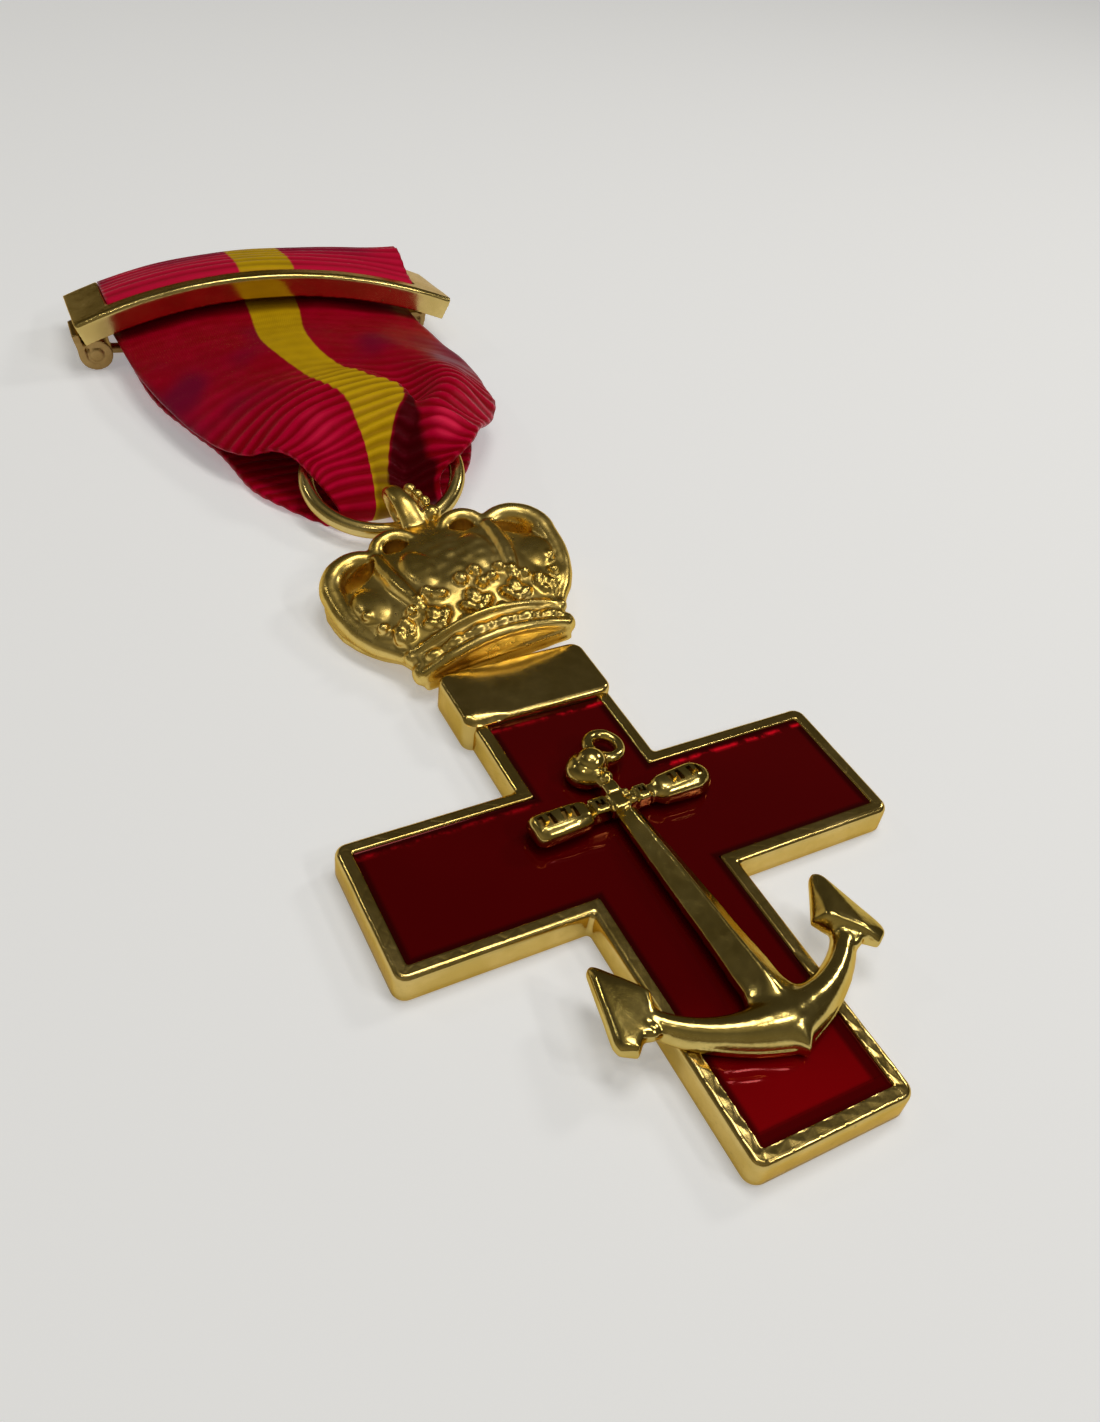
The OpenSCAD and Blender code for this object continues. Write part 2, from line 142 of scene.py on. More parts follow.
class Net:
    """Node tree of a material or a world, with one method that adds nodes."""

    MIX_SHARE, MIX_FIRST, MIX_SECOND, MIX_RESULT = 0, 6, 7, 2

    def __init__(self, tree: bpy.types.NodeTree) -> None:
        """Keeps the tree and empties it."""
        self.tree = tree
        tree.nodes.clear()

    def add(
        self, kind: str, settings: dict[str, object], inputs: dict[str | int, object]
    ) -> bpy.types.Node:
        """Adds a node: its settings first, then the values or links of its sockets.

        Args:
            kind: Type of the node.
            settings: Its properties.
            inputs: Socket name or number to a value or a Shade.

        Returns:
            The node.
        """
        made = self.tree.nodes.new(kind)
        for name, value in settings.items():
            setattr(made, name, value)
        for name, value in inputs.items():
            socket = made.inputs[name]
            if isinstance(value, Shade):
                self.tree.links.new(value.socket, socket)
            else:
                socket.default_value = value
        return made

    def node(
        self,
        kind: str,
        settings: dict[str, object] | None = None,
        inputs: dict[str | int, object] | None = None,
        out: str | int = 0,
    ) -> Shade:
        """Adds a node and gives back one of its outputs.

        Args:
            kind: Type of the node.
            settings: Its properties.
            inputs: Socket name or number to a value or a Shade.
            out: Output socket that is given back.

        Returns:
            The output.
        """
        return Shade(self, self.add(kind, settings or {}, inputs or {}).outputs[out])

    def mix(self, share: Shade | float, first: object, second: object) -> Shade:
        """Mixes two colours.

        Args:
            share: Share of the second colour.
            first: Colour or Shade.
            second: Colour or Shade.

        Returns:
            The mixed colour.
        """
        values = {self.MIX_SHARE: share, self.MIX_FIRST: first, self.MIX_SECOND: second}
        for socket, value in values.items():
            if isinstance(value, tuple):
                values[socket] = (*value, 1.0)
        return self.node("ShaderNodeMix", {"data_type": "RGBA"}, values, out=self.MIX_RESULT)

    def place(self) -> Shade:
        """Place on the object, in metres."""
        return self.node("ShaderNodeTexCoord", out="Object")

    def noise(
        self, size: float, seed: float, detail: float = 3.0, rough: float = 0.5
    ) -> Shade:
        """Cloudy noise.

        Args:
            size: Size of its clouds in millimetres.
            seed: Place in a fourth direction, so that two noises differ.
            detail: Number of finer layers.
            rough: Share of each finer layer.

        Returns:
            A value near one half.
        """
        inputs = {"Vector": self.place(), "W": seed, "Scale": 1 / (size * MM)}
        inputs |= {"Detail": detail, "Roughness": rough}
        return self.node("ShaderNodeTexNoise", {"noise_dimensions": "4D"}, inputs)

    def strokes(self, scale: Place, turn: float) -> Shade:
        """Noise drawn out into fine strokes.

        Args:
            scale: Strokes to the metre along each direction.
            turn: Turn of the strokes about Z, in radians.

        Returns:
            A value near one half.
        """
        inputs = {"Vector": self.place(), "Rotation": (0.0, 0.0, turn), "Scale": scale}
        drawn = self.node("ShaderNodeMapping", {}, inputs)
        inputs = {"Vector": drawn, "Scale": 1.0, "Detail": 2.0}
        return self.node("ShaderNodeTexNoise", {"noise_dimensions": "3D"}, inputs)

    def stored(self, name: str) -> Shade:
        """A value that the mesh stores at its points."""
        return self.node("ShaderNodeAttribute", {"attribute_name": name}, out="Fac")

    def bump(
        self, height: Shade, depth: float, strength: float = 1.0, normal: Shade | None = None
    ) -> Shade:
        """Bump.

        Args:
            height: Height from 0 to 1.
            depth: What a height of 1 stands for, in millimetres.
            strength: Strength of the effect.
            normal: Normal from another bump.

        Returns:
            The bent normal.
        """
        inputs = {"Height": height, "Distance": depth * MM, "Strength": strength}
        if normal is not None:
            inputs["Normal"] = normal
        return self.node("ShaderNodeBump", {}, inputs)

    def surface(self, **inputs: object) -> None:
        """Adds the main shader and the output.

        Args:
            inputs: Socket name, with underscores for its spaces, to a value or a Shade.
        """
        named = {name.replace("_", " "): value for name, value in inputs.items()}
        shader = self.node("ShaderNodeBsdfPrincipled", {}, named, out="BSDF")
        self.output("ShaderNodeOutputMaterial", shader)

    def output(self, kind: str, shader: Shade) -> None:
        """Adds an output node and links a shader to its surface."""
        self.add(kind, {}, {"Surface": shader})


def new_material(name: str) -> tuple[bpy.types.Material, Net]:
    """Makes an empty material.

    Args:
        name: Its name.

    Returns:
        The material and its net.
    """
    material = bpy.data.materials.new(name)
    material.use_nodes = True
    return material, Net(material.node_tree)


# Finishes


@dataclass(frozen=True)
class GiltFinish:
    """Gilt bronze, polished or satin, with faint clouds, fine scratches and dark hollows."""

    name: str
    tint: Colour = (0.82, 0.61, 0.20)
    deep: Colour = (0.68, 0.48, 0.12)
    in_hollows: Colour = (0.22, 0.13, 0.03)
    in_specks: Colour = (0.16, 0.10, 0.03)
    glint: Colour = (0.86, 0.68, 0.38)
    roughness: float = 0.14
    least_rough: float = 0.05
    most_rough: float = 0.7
    cloud_size: float = 3.0
    grain: float = 0.6
    relief: float = 0.012
    scratches: float = 0.25
    scratch_depth: float = 0.004
    specks: float = 0.4
    speck_size: float = 0.30
    hollows: bool = False

    def material(self) -> bpy.types.Material:
        """Builds the material.

        Returns:
            The material.
        """
        material, net = new_material(self.name)
        clouds = net.noise(self.cloud_size, seed=1.0, detail=4.0, rough=0.6)
        colour = net.mix(clouds.step(0.35, 0.7), self.deep, self.tint)
        fine = net.noise(self.grain, seed=4.0, detail=5.0, rough=0.65)
        rough = self.roughness + (fine - 0.5) * 0.22 + (clouds - 0.5) * 0.12
        if self.hollows:
            hollow = net.stored("hollow")
            colour = net.mix(hollow.step(0.1, 0.9), colour, self.in_hollows)
            rough = rough + hollow * 0.18
        dots = net.noise(self.speck_size, seed=13.0, detail=2.0, rough=0.6).step(0.66, 0.74)
        specks = dots * clouds.step(0.42, 0.58) * self.specks
        colour = net.mix(specks, colour, self.in_specks)
        rough = rough + specks * 0.2
        normal = net.bump(fine, self.relief, strength=0.6)
        scratches = net.strokes((9000.0, 700.0, 3000.0), 0.7)
        net.surface(
            Base_Color=colour,
            Metallic=1.0,
            Specular_Tint=(*self.glint, 1.0),
            Roughness=rough.most(self.least_rough).least(self.most_rough),
            Normal=net.bump(scratches, self.scratch_depth, self.scratches, normal),
        )
        return material


@dataclass(frozen=True)
class EnamelFinish:
    """Deep red translucent enamel: painted shade along its rim, brighter on the foot, with gleams.
    """

    name: str
    deep: Colour = (0.088, 0.0, 0.0008)
    bright: Colour = (0.34, 0.0, 0.003)
    gleam: Colour = (0.95, 0.004, 0.02)
    painted_rim_shade: Colour = (0.018, 0.0, 0.0002)
    glint: Colour = (1.0, 0.10, 0.10)
    roughness: float = 0.07

    def material(self) -> bpy.types.Material:
        """Builds the material.

        Returns:
            The material.
        """
        material, net = new_material(self.name)
        clouds = net.noise(7.0, seed=2.0, detail=2.0)
        lit = (net.stored("lit") + (clouds - 0.5) * 0.25).step(0.0, 1.0)
        colour = net.mix(lit, self.deep, self.bright)
        # Painted shade along the rim, with a wider band on the foot's lower and right sides
        colour = net.mix(net.stored("edge").step(0.1, 1.0) * 0.8, colour, self.painted_rim_shade)
        flecks = net.noise(0.9, seed=9.0, rough=0.6).step(0.42, 0.62)
        colour = net.mix(net.stored("gleam") * flecks, colour, self.gleam)
        fine = net.noise(0.5, seed=5.0)
        net.surface(
            Base_Color=colour,
            Roughness=self.roughness + (fine - 0.5) * 0.05,
            Normal=net.bump(net.noise(2.2, seed=8.0, detail=2.0), 0.006, 0.5),
            Specular_IOR_Level=0.45,
            Specular_Tint=(*self.glint, 1.0),
            Coat_Weight=0.1,
            Coat_Roughness=0.03,
        )
        return material


@dataclass(frozen=True)
class RibbonFinish:
    """Ribbed silk ribbon: crimson with a golden yellow stripe down its middle."""

    name: str
    red: Colour = (0.29, 0.0, 0.006)
    painted_rose_highlight: Colour = (0.60, 0.001, 0.040)
    shine: Colour = (0.95, 0.025, 0.10)
    painted_plum_sheen: Colour = (0.17, 0.003, 0.034)
    yellow: Colour = (0.74, 0.47, 0.006)
    olive: Colour = (0.44, 0.26, 0.003)
    painted_fold_shade: Colour = (0.045, 0.0, 0.0008)
    glint: Colour = (1.0, 0.05, 0.14)
    sheen: Colour = (0.9, 0.03, 0.1)
    stripe: tuple[float, float] = (0.416, 0.584)
    stripe_edge: float = 0.004
    threads: int = 150
    roughness: float = 0.34

    def material(self) -> bpy.types.Material:
        """Builds the material.

        Returns:
            The material.
        """
        material, net = new_material(self.name)
        across, along = net.stored("across"), net.stored("along")
        soft = across + (net.noise(0.5, seed=3.0, detail=2.0) - 0.5) * self.stripe_edge
        start, end = (
            soft.step(place - self.stripe_edge, place + self.stripe_edge) for place in self.stripe
        )
        wave = (along * (TURN / RIB)).sine() * net.stored("crisp") * 0.5 + 0.5
        threads = (across * (TURN * self.threads)).sine() * 0.5 + 0.5
        uneven = net.noise(1.6, seed=6.0, rough=0.6)
        broad = net.noise(7.0, seed=11.0, detail=1.0)
        glow = net.stored("glow")
        # Painted highlights: lighter rose on the rib crests, with random tone, and shine where the
        # silk gleams
        bright = wave * 0.75 + uneven * 0.55 + glow * 0.45
        red = net.mix(bright.step(0.4, 1.3), self.red, self.painted_rose_highlight)
        red = net.mix(glow.step(0.5, 1.2) * wave, red, self.shine)
        # Painted sheen: plum patches on the upper part of the ribbon
        painted_plum_sheen = along.step(4.0, 8.0) * (1 - along.step(12.0, 17.0)) * broad.step(0.42, 0.6)
        red = net.mix(painted_plum_sheen * 0.8, red, self.painted_plum_sheen)
        # Golden stripe: lighter on the rib crests and olive in the troughs, as painted highlight
        # and shade
        yellow = net.mix((wave * 0.7 + uneven * 0.5).step(0.2, 1.0), self.olive, self.yellow)
        colour = net.mix(start * (1 - end), red, yellow)
        # Painted shade: dark maroon in the fold by the stripe, on its low end and under the rail
        colour = net.mix(net.stored("fold") * 0.93, colour, self.painted_fold_shade)
        normal = net.bump(threads, 0.010, strength=0.5)
        normal = net.bump(net.noise(0.12, seed=7.0, detail=2.0, rough=0.6), 0.012, 0.4, normal)
        net.surface(
            Base_Color=colour,
            Roughness=self.roughness + (uneven - 0.5) * 0.2 + (1 - wave) * 0.12,
            Normal=normal,
            Specular_IOR_Level=0.17,
            Specular_Tint=(*self.glint, 1.0),
            Sheen_Weight=0.1,
            Sheen_Roughness=0.3,
            Sheen_Tint=(*self.sheen, 1.0),
        )
        return material


@dataclass(frozen=True)
class FloorFinish:
    """Plain pale floor."""

    name: str = "pale_floor"
    colour: Colour = (0.815, 0.828, 0.85)
    glow: float = 0.34

    def material(self) -> bpy.types.Material:
        """Builds the material.

        Returns:
            The material.
        """
        material, net = new_material(self.name)
        net.surface(
            Base_Color=(*self.colour, 1.0),
            Roughness=0.9,
            Specular_IOR_Level=0.1,
            Emission_Color=(*self.colour, 1.0),
            Emission_Strength=self.glow,
        )
        return material


class Finish(Enum):
    """The finishes of the pieces."""

    CAST = "gilt_cast"
    CROWN = "gilt_crown"
    CROSS = "gilt_cross"
    RING = "gilt_ring"
    BAR = "gilt_bar"
    PIN = "gilt_pin"
    ENAMEL = "red_enamel"
    RIBBON = "ribbed_ribbon"


class Wardrobe:
    """Keeps one material for each finish, with the slot of the record that it belongs to."""

    SLOTS = {
        Finish.CAST: "gilt",
        Finish.CROWN: "gilt",
        Finish.CROSS: "gilt",
        Finish.RING: "gilt",
        Finish.BAR: "bar_gilt",
        Finish.PIN: "pin_gilt",
        Finish.ENAMEL: "enamel",
        Finish.RIBBON: "ribbon",
    }
    BAR_TINTS = {"tint": (0.78, 0.60, 0.23), "deep": (0.62, 0.46, 0.15), "roughness": 0.2}

    def __init__(self) -> None:
        """Builds the materials."""
        looks = {
            Finish.CAST: GiltFinish(
                Finish.CAST.value,
                tint=(0.74, 0.575, 0.19),
                deep=(0.58, 0.43, 0.12),
                hollows=True,
                roughness=0.155,
                grain=0.4,
                relief=0.016,
                specks=0.8,
            ),
            Finish.CROWN: GiltFinish(
                Finish.CROWN.value, hollows=True, roughness=0.28, grain=0.9, relief=0.02
            ),
            Finish.CROSS: GiltFinish(
                Finish.CROSS.value,
                tint=(0.74, 0.55, 0.195),
                deep=(0.60, 0.43, 0.12),
                roughness=0.17,
                grain=0.35,
                relief=0.008,
                scratches=0.4,
                specks=0.3,
            ),
            Finish.RING: GiltFinish(Finish.RING.value, **self.BAR_TINTS),
            Finish.BAR: GiltFinish(Finish.BAR.value, **self.BAR_TINTS),
            Finish.PIN: GiltFinish(
                Finish.PIN.value, tint=(0.44, 0.29, 0.11), deep=(0.30, 0.18, 0.055), roughness=0.34
            ),
            Finish.ENAMEL: EnamelFinish(Finish.ENAMEL.value),
            Finish.RIBBON: RibbonFinish(Finish.RIBBON.value),
        }
        self.materials = {finish: look.material() for finish, look in looks.items()}


# Meshes


def unit(v: Sequence[float] | Points) -> Points:
    """Vector of length one."""
    v = np.asarray(v, float)
    return v / max(1e-12, float(np.linalg.norm(v)))


def circle(count: int) -> Points:
    """Points on a circle of radius one, anticlockwise, as rows of x and y."""
    angle = np.arange(count) * TURN / count
    return np.c_[np.cos(angle), np.sin(angle)]


def turned(plan: Points, degrees: float) -> Points:
    """Points in the plane turned about the origin."""
    c, s = math.cos(math.radians(degrees)), math.sin(math.radians(degrees))
    return plan @ np.array([[c, s], [-s, c]])


def level(plan: Points, height: float | Points) -> Points:
    """Points in the plane lifted to a height."""
    return np.c_[plan, np.broadcast_to(height, len(plan))]


def lengths(path: Points) -> Points:
    """Length along a path at each of its points."""
    return np.r_[0, np.cumsum(np.linalg.norm(np.diff(path, axis=0), axis=1))]


def waves(points: Points, size: float, seed: int) -> Points:
    """Smooth random waves.

    Args:
        points: Points as rows.
        size: Length of a wave.
        seed: Seed of the waves.

    Returns:
        A value from about -1 to 1 for each point.
    """
    trains, reach = 7, 3.2
    rng = np.random.default_rng(seed)
    total = np.zeros(len(points))
    for _ in range(trains):
        way = unit(rng.normal(size=3)) * TURN / (size * rng.uniform(0.6, 1.6))
        total += np.sin(points @ way + rng.uniform(0, 6.28))
    return total / reach


def smooth_step(x: Points, low: float, high: float) -> Points:
    """Smooth rise from 0 at low to 1 at high."""
    t = np.clip((x - low) / (high - low), 0, 1)
    return t * t * (3 - 2 * t)


def bell(x: Points, middle: float, width: float) -> Points:
    """Bell curve of height one."""
    return np.exp(-(((x - middle) / width) ** 2))


def zigzag(x: Points) -> Points:
    """Line that falls from 1 to 0 and rises again in each step of one."""
    return np.abs(x % 1 * 2 - 1)


def rounded_loop(
    corners: Points,
    inset: float,
    radii: tuple[float, float],
    counts: Sequence[int],
    arc: int = 6,
) -> Points:
    """Outline with right-angled corners, moved inwards and rounded.

    Args:
        corners: Corners in the plane, anticlockwise.
        inset: Distance inwards.
        radii: Radius of an outer corner and of an inner one.
        counts: Number of points on each side after its corner.
        arc: Number of steps in a corner.

    Returns:
        Points of the loop, the same number for each inset.
    """
    n = len(corners)
    starts, ends, arcs = [], [], []
    for i in range(n):
        into = unit(corners[i] - corners[i - 1])
        away = unit(corners[(i + 1) % n] - corners[i])
        left0, left1 = np.array([-into[1], into[0]]), np.array([-away[1], away[0]])
        moved = corners[i] + inset * (left0 + left1)
        turn = into[0] * away[1] - into[1] * away[0]
        r = radii[0] if turn > 0 else radii[1]
        centre = moved - into * r + left0 * r * (1 if turn > 0 else -1)
        start = moved - into * r
        angle = np.linspace(0, math.pi / 2, arc + 1)[:, None]
        arcs.append(centre + (start - centre) * np.cos(angle) + into * r * np.sin(angle))
        starts.append(start)
        ends.append(moved + away * r)
    loop = []
    for i in range(n):
        t = (np.arange(1, counts[i] + 1) / (counts[i] + 1))[:, None]
        loop += [arcs[i], ends[i] + (starts[(i + 1) % n] - ends[i]) * t]
    return np.vstack(loop)


def side_counts(corners: Points, spacing: float) -> list[int]:
    """Number of points on each side of an outline for a spacing."""
    sides = np.linalg.norm(np.roll(corners, -1, axis=0) - corners, axis=1)
    return [max(1, int(side / spacing)) for side in sides]


def graded(stops: Sequence[float], spacings: Sequence[float]) -> Points:
    """Places along a line, closer together beside each stop.

    Args:
        stops: Rising places that are kept exactly.
        spacings: Distance between places away from the stops, for each span.

    Returns:
        The places.
    """
    near = np.array([0.03, 0.07, 0.12, 0.18, 0.25, 0.33, 0.42, 0.53, 0.67])
    places = [np.array(stops[:1])]
    for a, b, spacing in zip(stops, stops[1:], spacings):
        count = int((b - a - 2 * near[-1]) / spacing) + 2
        even = np.linspace(a + near[-1], b - near[-1], count)
        places += [a + near[:-1], even, b - near[-2::-1], [b]]
    return np.concatenate(places)


def plate(points: Points, bottom: float, inside: Points) -> "Draft":
    """Closed plate over some points of a grid.

    Args:
        points: Points of its upper side, row by row.
        bottom: Height of its lower side.
        inside: Rows by columns, true for each point that belongs to the plate.

    Returns:
        A draft with the plate.
    """
    rows, wide = inside.shape
    kept = inside[:-1, :-1] & inside[1:, :-1] & inside[1:, 1:] & inside[:-1, 1:]
    index = np.arange(rows * wide).reshape(rows, wide)
    a, b, c, d = index[:-1, :-1], index[:-1, 1:], index[1:, 1:], index[1:, :-1]
    quads = np.stack([a, b, c, d], -1)[kept]
    edges = {}
    for quad in quads.tolist():
        for i in range(4):
            edge = (quad[i], quad[(i + 1) % 4])
            if (edge[1], edge[0]) in edges:
                del edges[(edge[1], edge[0])]
            else:
                edges[edge] = True
    count = rows * wide
    faces = np.vstack([quads, quads[:, ::-1] + count]).tolist()
    faces += [(p, p + count, q + count, q) for p, q in edges]
    lower = points.copy()
    lower[:, 2] = bottom
    both = np.vstack([points, lower])
    used = np.unique(np.concatenate([np.ravel(f) for f in faces]))
    renamed = np.full(len(both), -1)
    renamed[used] = np.arange(len(used))
    return Draft().add(both[used], [[renamed[k] for k in f] for f in faces])


class Draft:
    """Closed shells that are gathered into one mesh, in millimetres."""

    POLE_GAP = 0.12
    TIP = ((0.8, 0.5), (0.4, 0.87))

    def __init__(self) -> None:
        """Starts with nothing."""
        self.points: list[Points] = []
        self.faces: list[tuple[int, ...]] = []
        self.count = 0

    def add(self, points: Points, faces: Sequence[Sequence[int]]) -> "Draft":
        """Adds a shell.

        Args:
            points: Its points.
            faces: Its faces as point numbers.

        Returns:
            The draft.
        """
        self.points.append(np.asarray(points, float))
        self.faces += [tuple(int(k) + self.count for k in f) for f in faces]
        self.count += len(points)
        return self

    def loft(self, loops: Sequence[Points]) -> "Draft":
        """Joins closed loops of equal length one after the other and caps both ends.

        Args:
            loops: Loops, anticlockwise as seen from the last one.

        Returns:
            The draft.
        """
        n = len(loops[0])
        faces: list[Sequence[int]] = [list(range(n))[::-1]]
        for k in range(len(loops) - 1):
            a, b = k * n, (k + 1) * n
            faces += [(a + i, a + (i + 1) % n, b + (i + 1) % n, b + i) for i in range(n)]
        faces.append([(len(loops) - 1) * n + i for i in range(n)])
        return self.add(np.vstack(loops), faces)

    def ball(
        self, at: Sequence[float], radii: Sequence[float] | float, turn: float = 0.0, n: int = 20
    ) -> "Draft":
        """Adds an ellipsoid.

        Args:
            at: Its centre.
            radii: Its radius, or its three radii.
            turn: Turn about Z in degrees.
            n: Number of points round it.

        Returns:
            The draft.
        """
        last = math.pi / 2 - self.POLE_GAP
        loops = []
        for lat in np.linspace(-last, last, n // 2 + 1):
            loop = level(circle(n) * math.cos(lat), math.sin(lat)) * radii
            loops.append(level(turned(loop[:, :2], turn), loop[:, 2]) + at)
        return self.loft(loops)

    def tube(
        self,
        path: Sequence[Sequence[float]],
        radii: Sequence[float] | float,
        flat: float = 1.0,
        n: int = 18,
        side: Sequence[float] | None = None,
    ) -> "Draft":
        """Adds a round bar along a path, with rounded ends.

        Args:
            path: Points of the path.
            radii: Its radius, or one for each point.
            flat: Share of its height that is kept.
            n: Number of points round it.
            side: Direction of its width, when the path lies in a plane across it.

        Returns:
            The draft.
        """
        points = np.asarray(path, float)
        radii = np.broadcast_to(radii, len(points))
        ways = np.gradient(points, axis=0)
        loops = []
        for i, (point, way, radius) in enumerate(zip(points, ways, radii)):
            way = unit(way)
            across = unit(np.cross(way, UP)) if side is None else np.asarray(side, float)
            ring = circle(n) @ [across, np.cross(across, way) * flat] * radius
            way = way * radius
            if i == 0:
                loops += [point - way * out + ring * wide for out, wide in self.TIP]
            loops.append(point + ring)
            if i == len(points) - 1:
                loops += [point + way * out + ring * wide for out, wide in self.TIP[::-1]]
        return self.loft(loops)

    def ring(
        self,
        at: Sequence[float],
        radius: float,
        section: tuple[float, float],
        axis: Sequence[float],
        n: int = 48,
    ) -> "Draft":
        """Adds a ring.

        Args:
            at: Its centre.
            radius: Radius of its middle line.
            section: Half its wire's size outwards and along its axis.
            axis: Direction of its axis.
            n: Number of steps round it.

        Returns:
            The draft.
        """
        m = max(12, n // 3)
        z = unit(axis)
        x = unit(np.cross(z, [0.3, 1.0, 0.2]))
        out = circle(n) @ [x, np.cross(z, x)]
        wire = circle(m) * section
        points = out[:, None] * (radius + wire[:, :1]) + z * wire[:, 1:] + at
        i, j = np.indices((n, m))
        after, beside = (i + 1) % n * m, (j + 1) % m
        faces = np.stack([i * m + j, after + j, after + beside, i * m + beside], -1)
        return self.add(points.reshape(-1, 3), faces.reshape(-1, 4))

    def hull(self, points: Sequence[Sequence[float]] | Points) -> "Draft":
        """Adds the convex hull of some points.

        Args:
            points: The points.

        Returns:
            The draft.
        """
        bm = bmesh.new()
        for p in points:
            bm.verts.new(Vector(p))
        made = bmesh.ops.convex_hull(bm, input=bm.verts, use_existing_faces=False)
        loose = [
            part
            for part in made["geom_interior"] + made["geom_unused"]
            if isinstance(part, bmesh.types.BMVert)
        ]
        bmesh.ops.delete(bm, geom=list(set(loose)), context="VERTS")
        bm.verts.index_update()
        faces = [[corner.index for corner in face.verts] for face in bm.faces]
        self.add(np.array([corner.co for corner in bm.verts]), faces)
        bm.free()
        return self

    def made(self, name: str) -> bpy.types.Object:
        """Makes the object, still in millimetres.

        Args:
            name: Its name.

        Returns:
            The object.
        """
        mesh = bpy.data.meshes.new(name)
        mesh.from_pydata(np.vstack(self.points).tolist(), [], self.faces)
        mesh.update()
        made = bpy.data.objects.new(name, mesh)
        bpy.context.scene.collection.objects.link(made)
        return made


def apply_modifiers(piece: bpy.types.Object) -> None:
    """Turns a piece's modifiers into its mesh.

    Args:
        piece: The piece.
    """
    old = piece.data
    graph = bpy.context.evaluated_depsgraph_get()
    mesh = bpy.data.meshes.new_from_object(piece.evaluated_get(graph))
    piece.modifiers.clear()
    piece.data = mesh
    bpy.data.meshes.remove(old)


def melt(piece: bpy.types.Object, voxel: float, rounds: int, share: float = 0.5) -> None:
    """Melts the shells of a piece into one skin, as a casting, and softens its edges.

    Args:
        piece: The piece, in millimetres.
        voxel: Size of the skin's cells.
        rounds: Number of times that the skin is softened.
        share: Strength of each time.
    """
    remesh = piece.modifiers.new("melt", "REMESH")
    remesh.mode, remesh.voxel_size, remesh.adaptivity = "VOXEL", voxel, 0.0
    if rounds:
        soft = piece.modifiers.new("soften", "SMOOTH")
        soft.factor, soft.iterations = share, rounds
    apply_modifiers(piece)


class Combine(Enum):
    """Ways to combine two objects."""

    JOIN = "UNION"
    CUT = "DIFFERENCE"


def combine(piece: bpy.types.Object, other: bpy.types.Object, way: Combine) -> None:
    """Joins another object to a piece, or cuts it out of it, and removes it.

    Args:
        piece: The piece.
        other: The other object.
        way: Whether it is joined or cut.
    """
    modifier = piece.modifiers.new("combine", "BOOLEAN")
    modifier.operation, modifier.object, modifier.solver = way.value, other, "EXACT"
    apply_modifiers(piece)
    bpy.data.objects.remove(other)


def vectors(parts: bpy.types.bpy_prop_collection, name: str) -> Points:
    """Reads a vector of each part of a mesh.

    Args:
        parts: The parts.
        name: Name of the vector.

    Returns:
        One row for each part.
    """
    values = np.zeros(len(parts) * 3)
    parts.foreach_get(name, values)
    return values.reshape(-1, 3)


def points_of(piece: bpy.types.Object) -> Points:
    """Points of a piece's mesh."""
    return vectors(piece.data.vertices, "co")


def normals_of(piece: bpy.types.Object) -> Points:
    """Normals at the points of a piece's mesh."""
    return vectors(piece.data.vertex_normals, "vector")


def set_points(piece: bpy.types.Object, points: Points) -> None:
    """Moves the points of a piece's mesh."""
    piece.data.vertices.foreach_set("co", points.ravel())
    piece.data.update()


def store(piece: bpy.types.Object, name: str, values: Points) -> None:
    """Stores a value at each point of a piece."""
    layer = piece.data.attributes.get(name) or piece.data.attributes.new(name, "FLOAT", "POINT")
    layer.data.foreach_set("value", np.asarray(values, np.float32))


def swell(
    piece: bpy.types.Object, height: Callable[[Points], Points], lowest: float = -math.inf
) -> None:
    """Moves each point of a piece along its normal.

    Args:
        piece: The piece, in millimetres.
        height: Gives the height at each point.
        lowest: Height over the floor under which no point goes.
    """
    co = points_of(piece)
    co = co + normals_of(piece) * height(co)[:, None]
    co[:, 2] = np.maximum(co[:, 2], lowest)
    set_points(piece, co)


class Neighbours:
    """Averages the points of a mesh along its edges."""

    def __init__(self, piece: bpy.types.Object) -> None:
        """Reads the mesh's edges.

        Args:
            piece: The piece whose mesh it is.
        """
        edges = np.zeros(len(piece.data.edges) * 2, int)
        piece.data.edges.foreach_get("vertices", edges)
        self.ends = edges.reshape(-1, 2).T
        self.count = len(piece.data.vertices)
        self.number = np.bincount(edges, minlength=self.count)[:, None].clip(1)

    def mean(self, points: Points) -> Points:
        """Mean of each point's neighbours.

        Args:
            points: One row for each point of the mesh.

        Returns:
            One row for each point.
        """
        a, b = self.ends
        sums = [
            np.bincount(a, values[b], self.count) + np.bincount(b, values[a], self.count)
            for values in points.T
        ]
        return np.stack(sums, 1) / self.number


def store_hollows(piece: bpy.types.Object, reach: float, rounds: int = 12) -> None:
    """Stores how deep each point lies in a hollow of its own mesh.

    Args:
        piece: The piece, in millimetres.
        reach: Depth that counts as a full hollow.
        rounds: Number of times that the mesh is averaged to find the skin over its hollows.
    """
    co, neighbours = points_of(piece), Neighbours(piece)
    skin = co
    for _ in range(rounds):
        skin = neighbours.mean(skin)
    depth = ((skin - co) * normals_of(piece)).sum(1)
    store(piece, "hollow", np.clip(depth / reach, 0, 1))


def relax(piece: bpy.types.Object, rounds: int, share: Callable[[Points], Points]) -> None:
    """Softens a piece more in some places than in others.

    Args:
        piece: The piece, in millimetres.
        rounds: Number of times that each point moves towards the mean of its neighbours.
        share: Gives the strength at each point from 0 to 1.
    """
    most = 0.6
    co, neighbours = points_of(piece), Neighbours(piece)
    strength = share(co)[:, None] * most
    for _ in range(rounds):
        co = co + (neighbours.mean(co) - co) * strength
    set_points(piece, co)


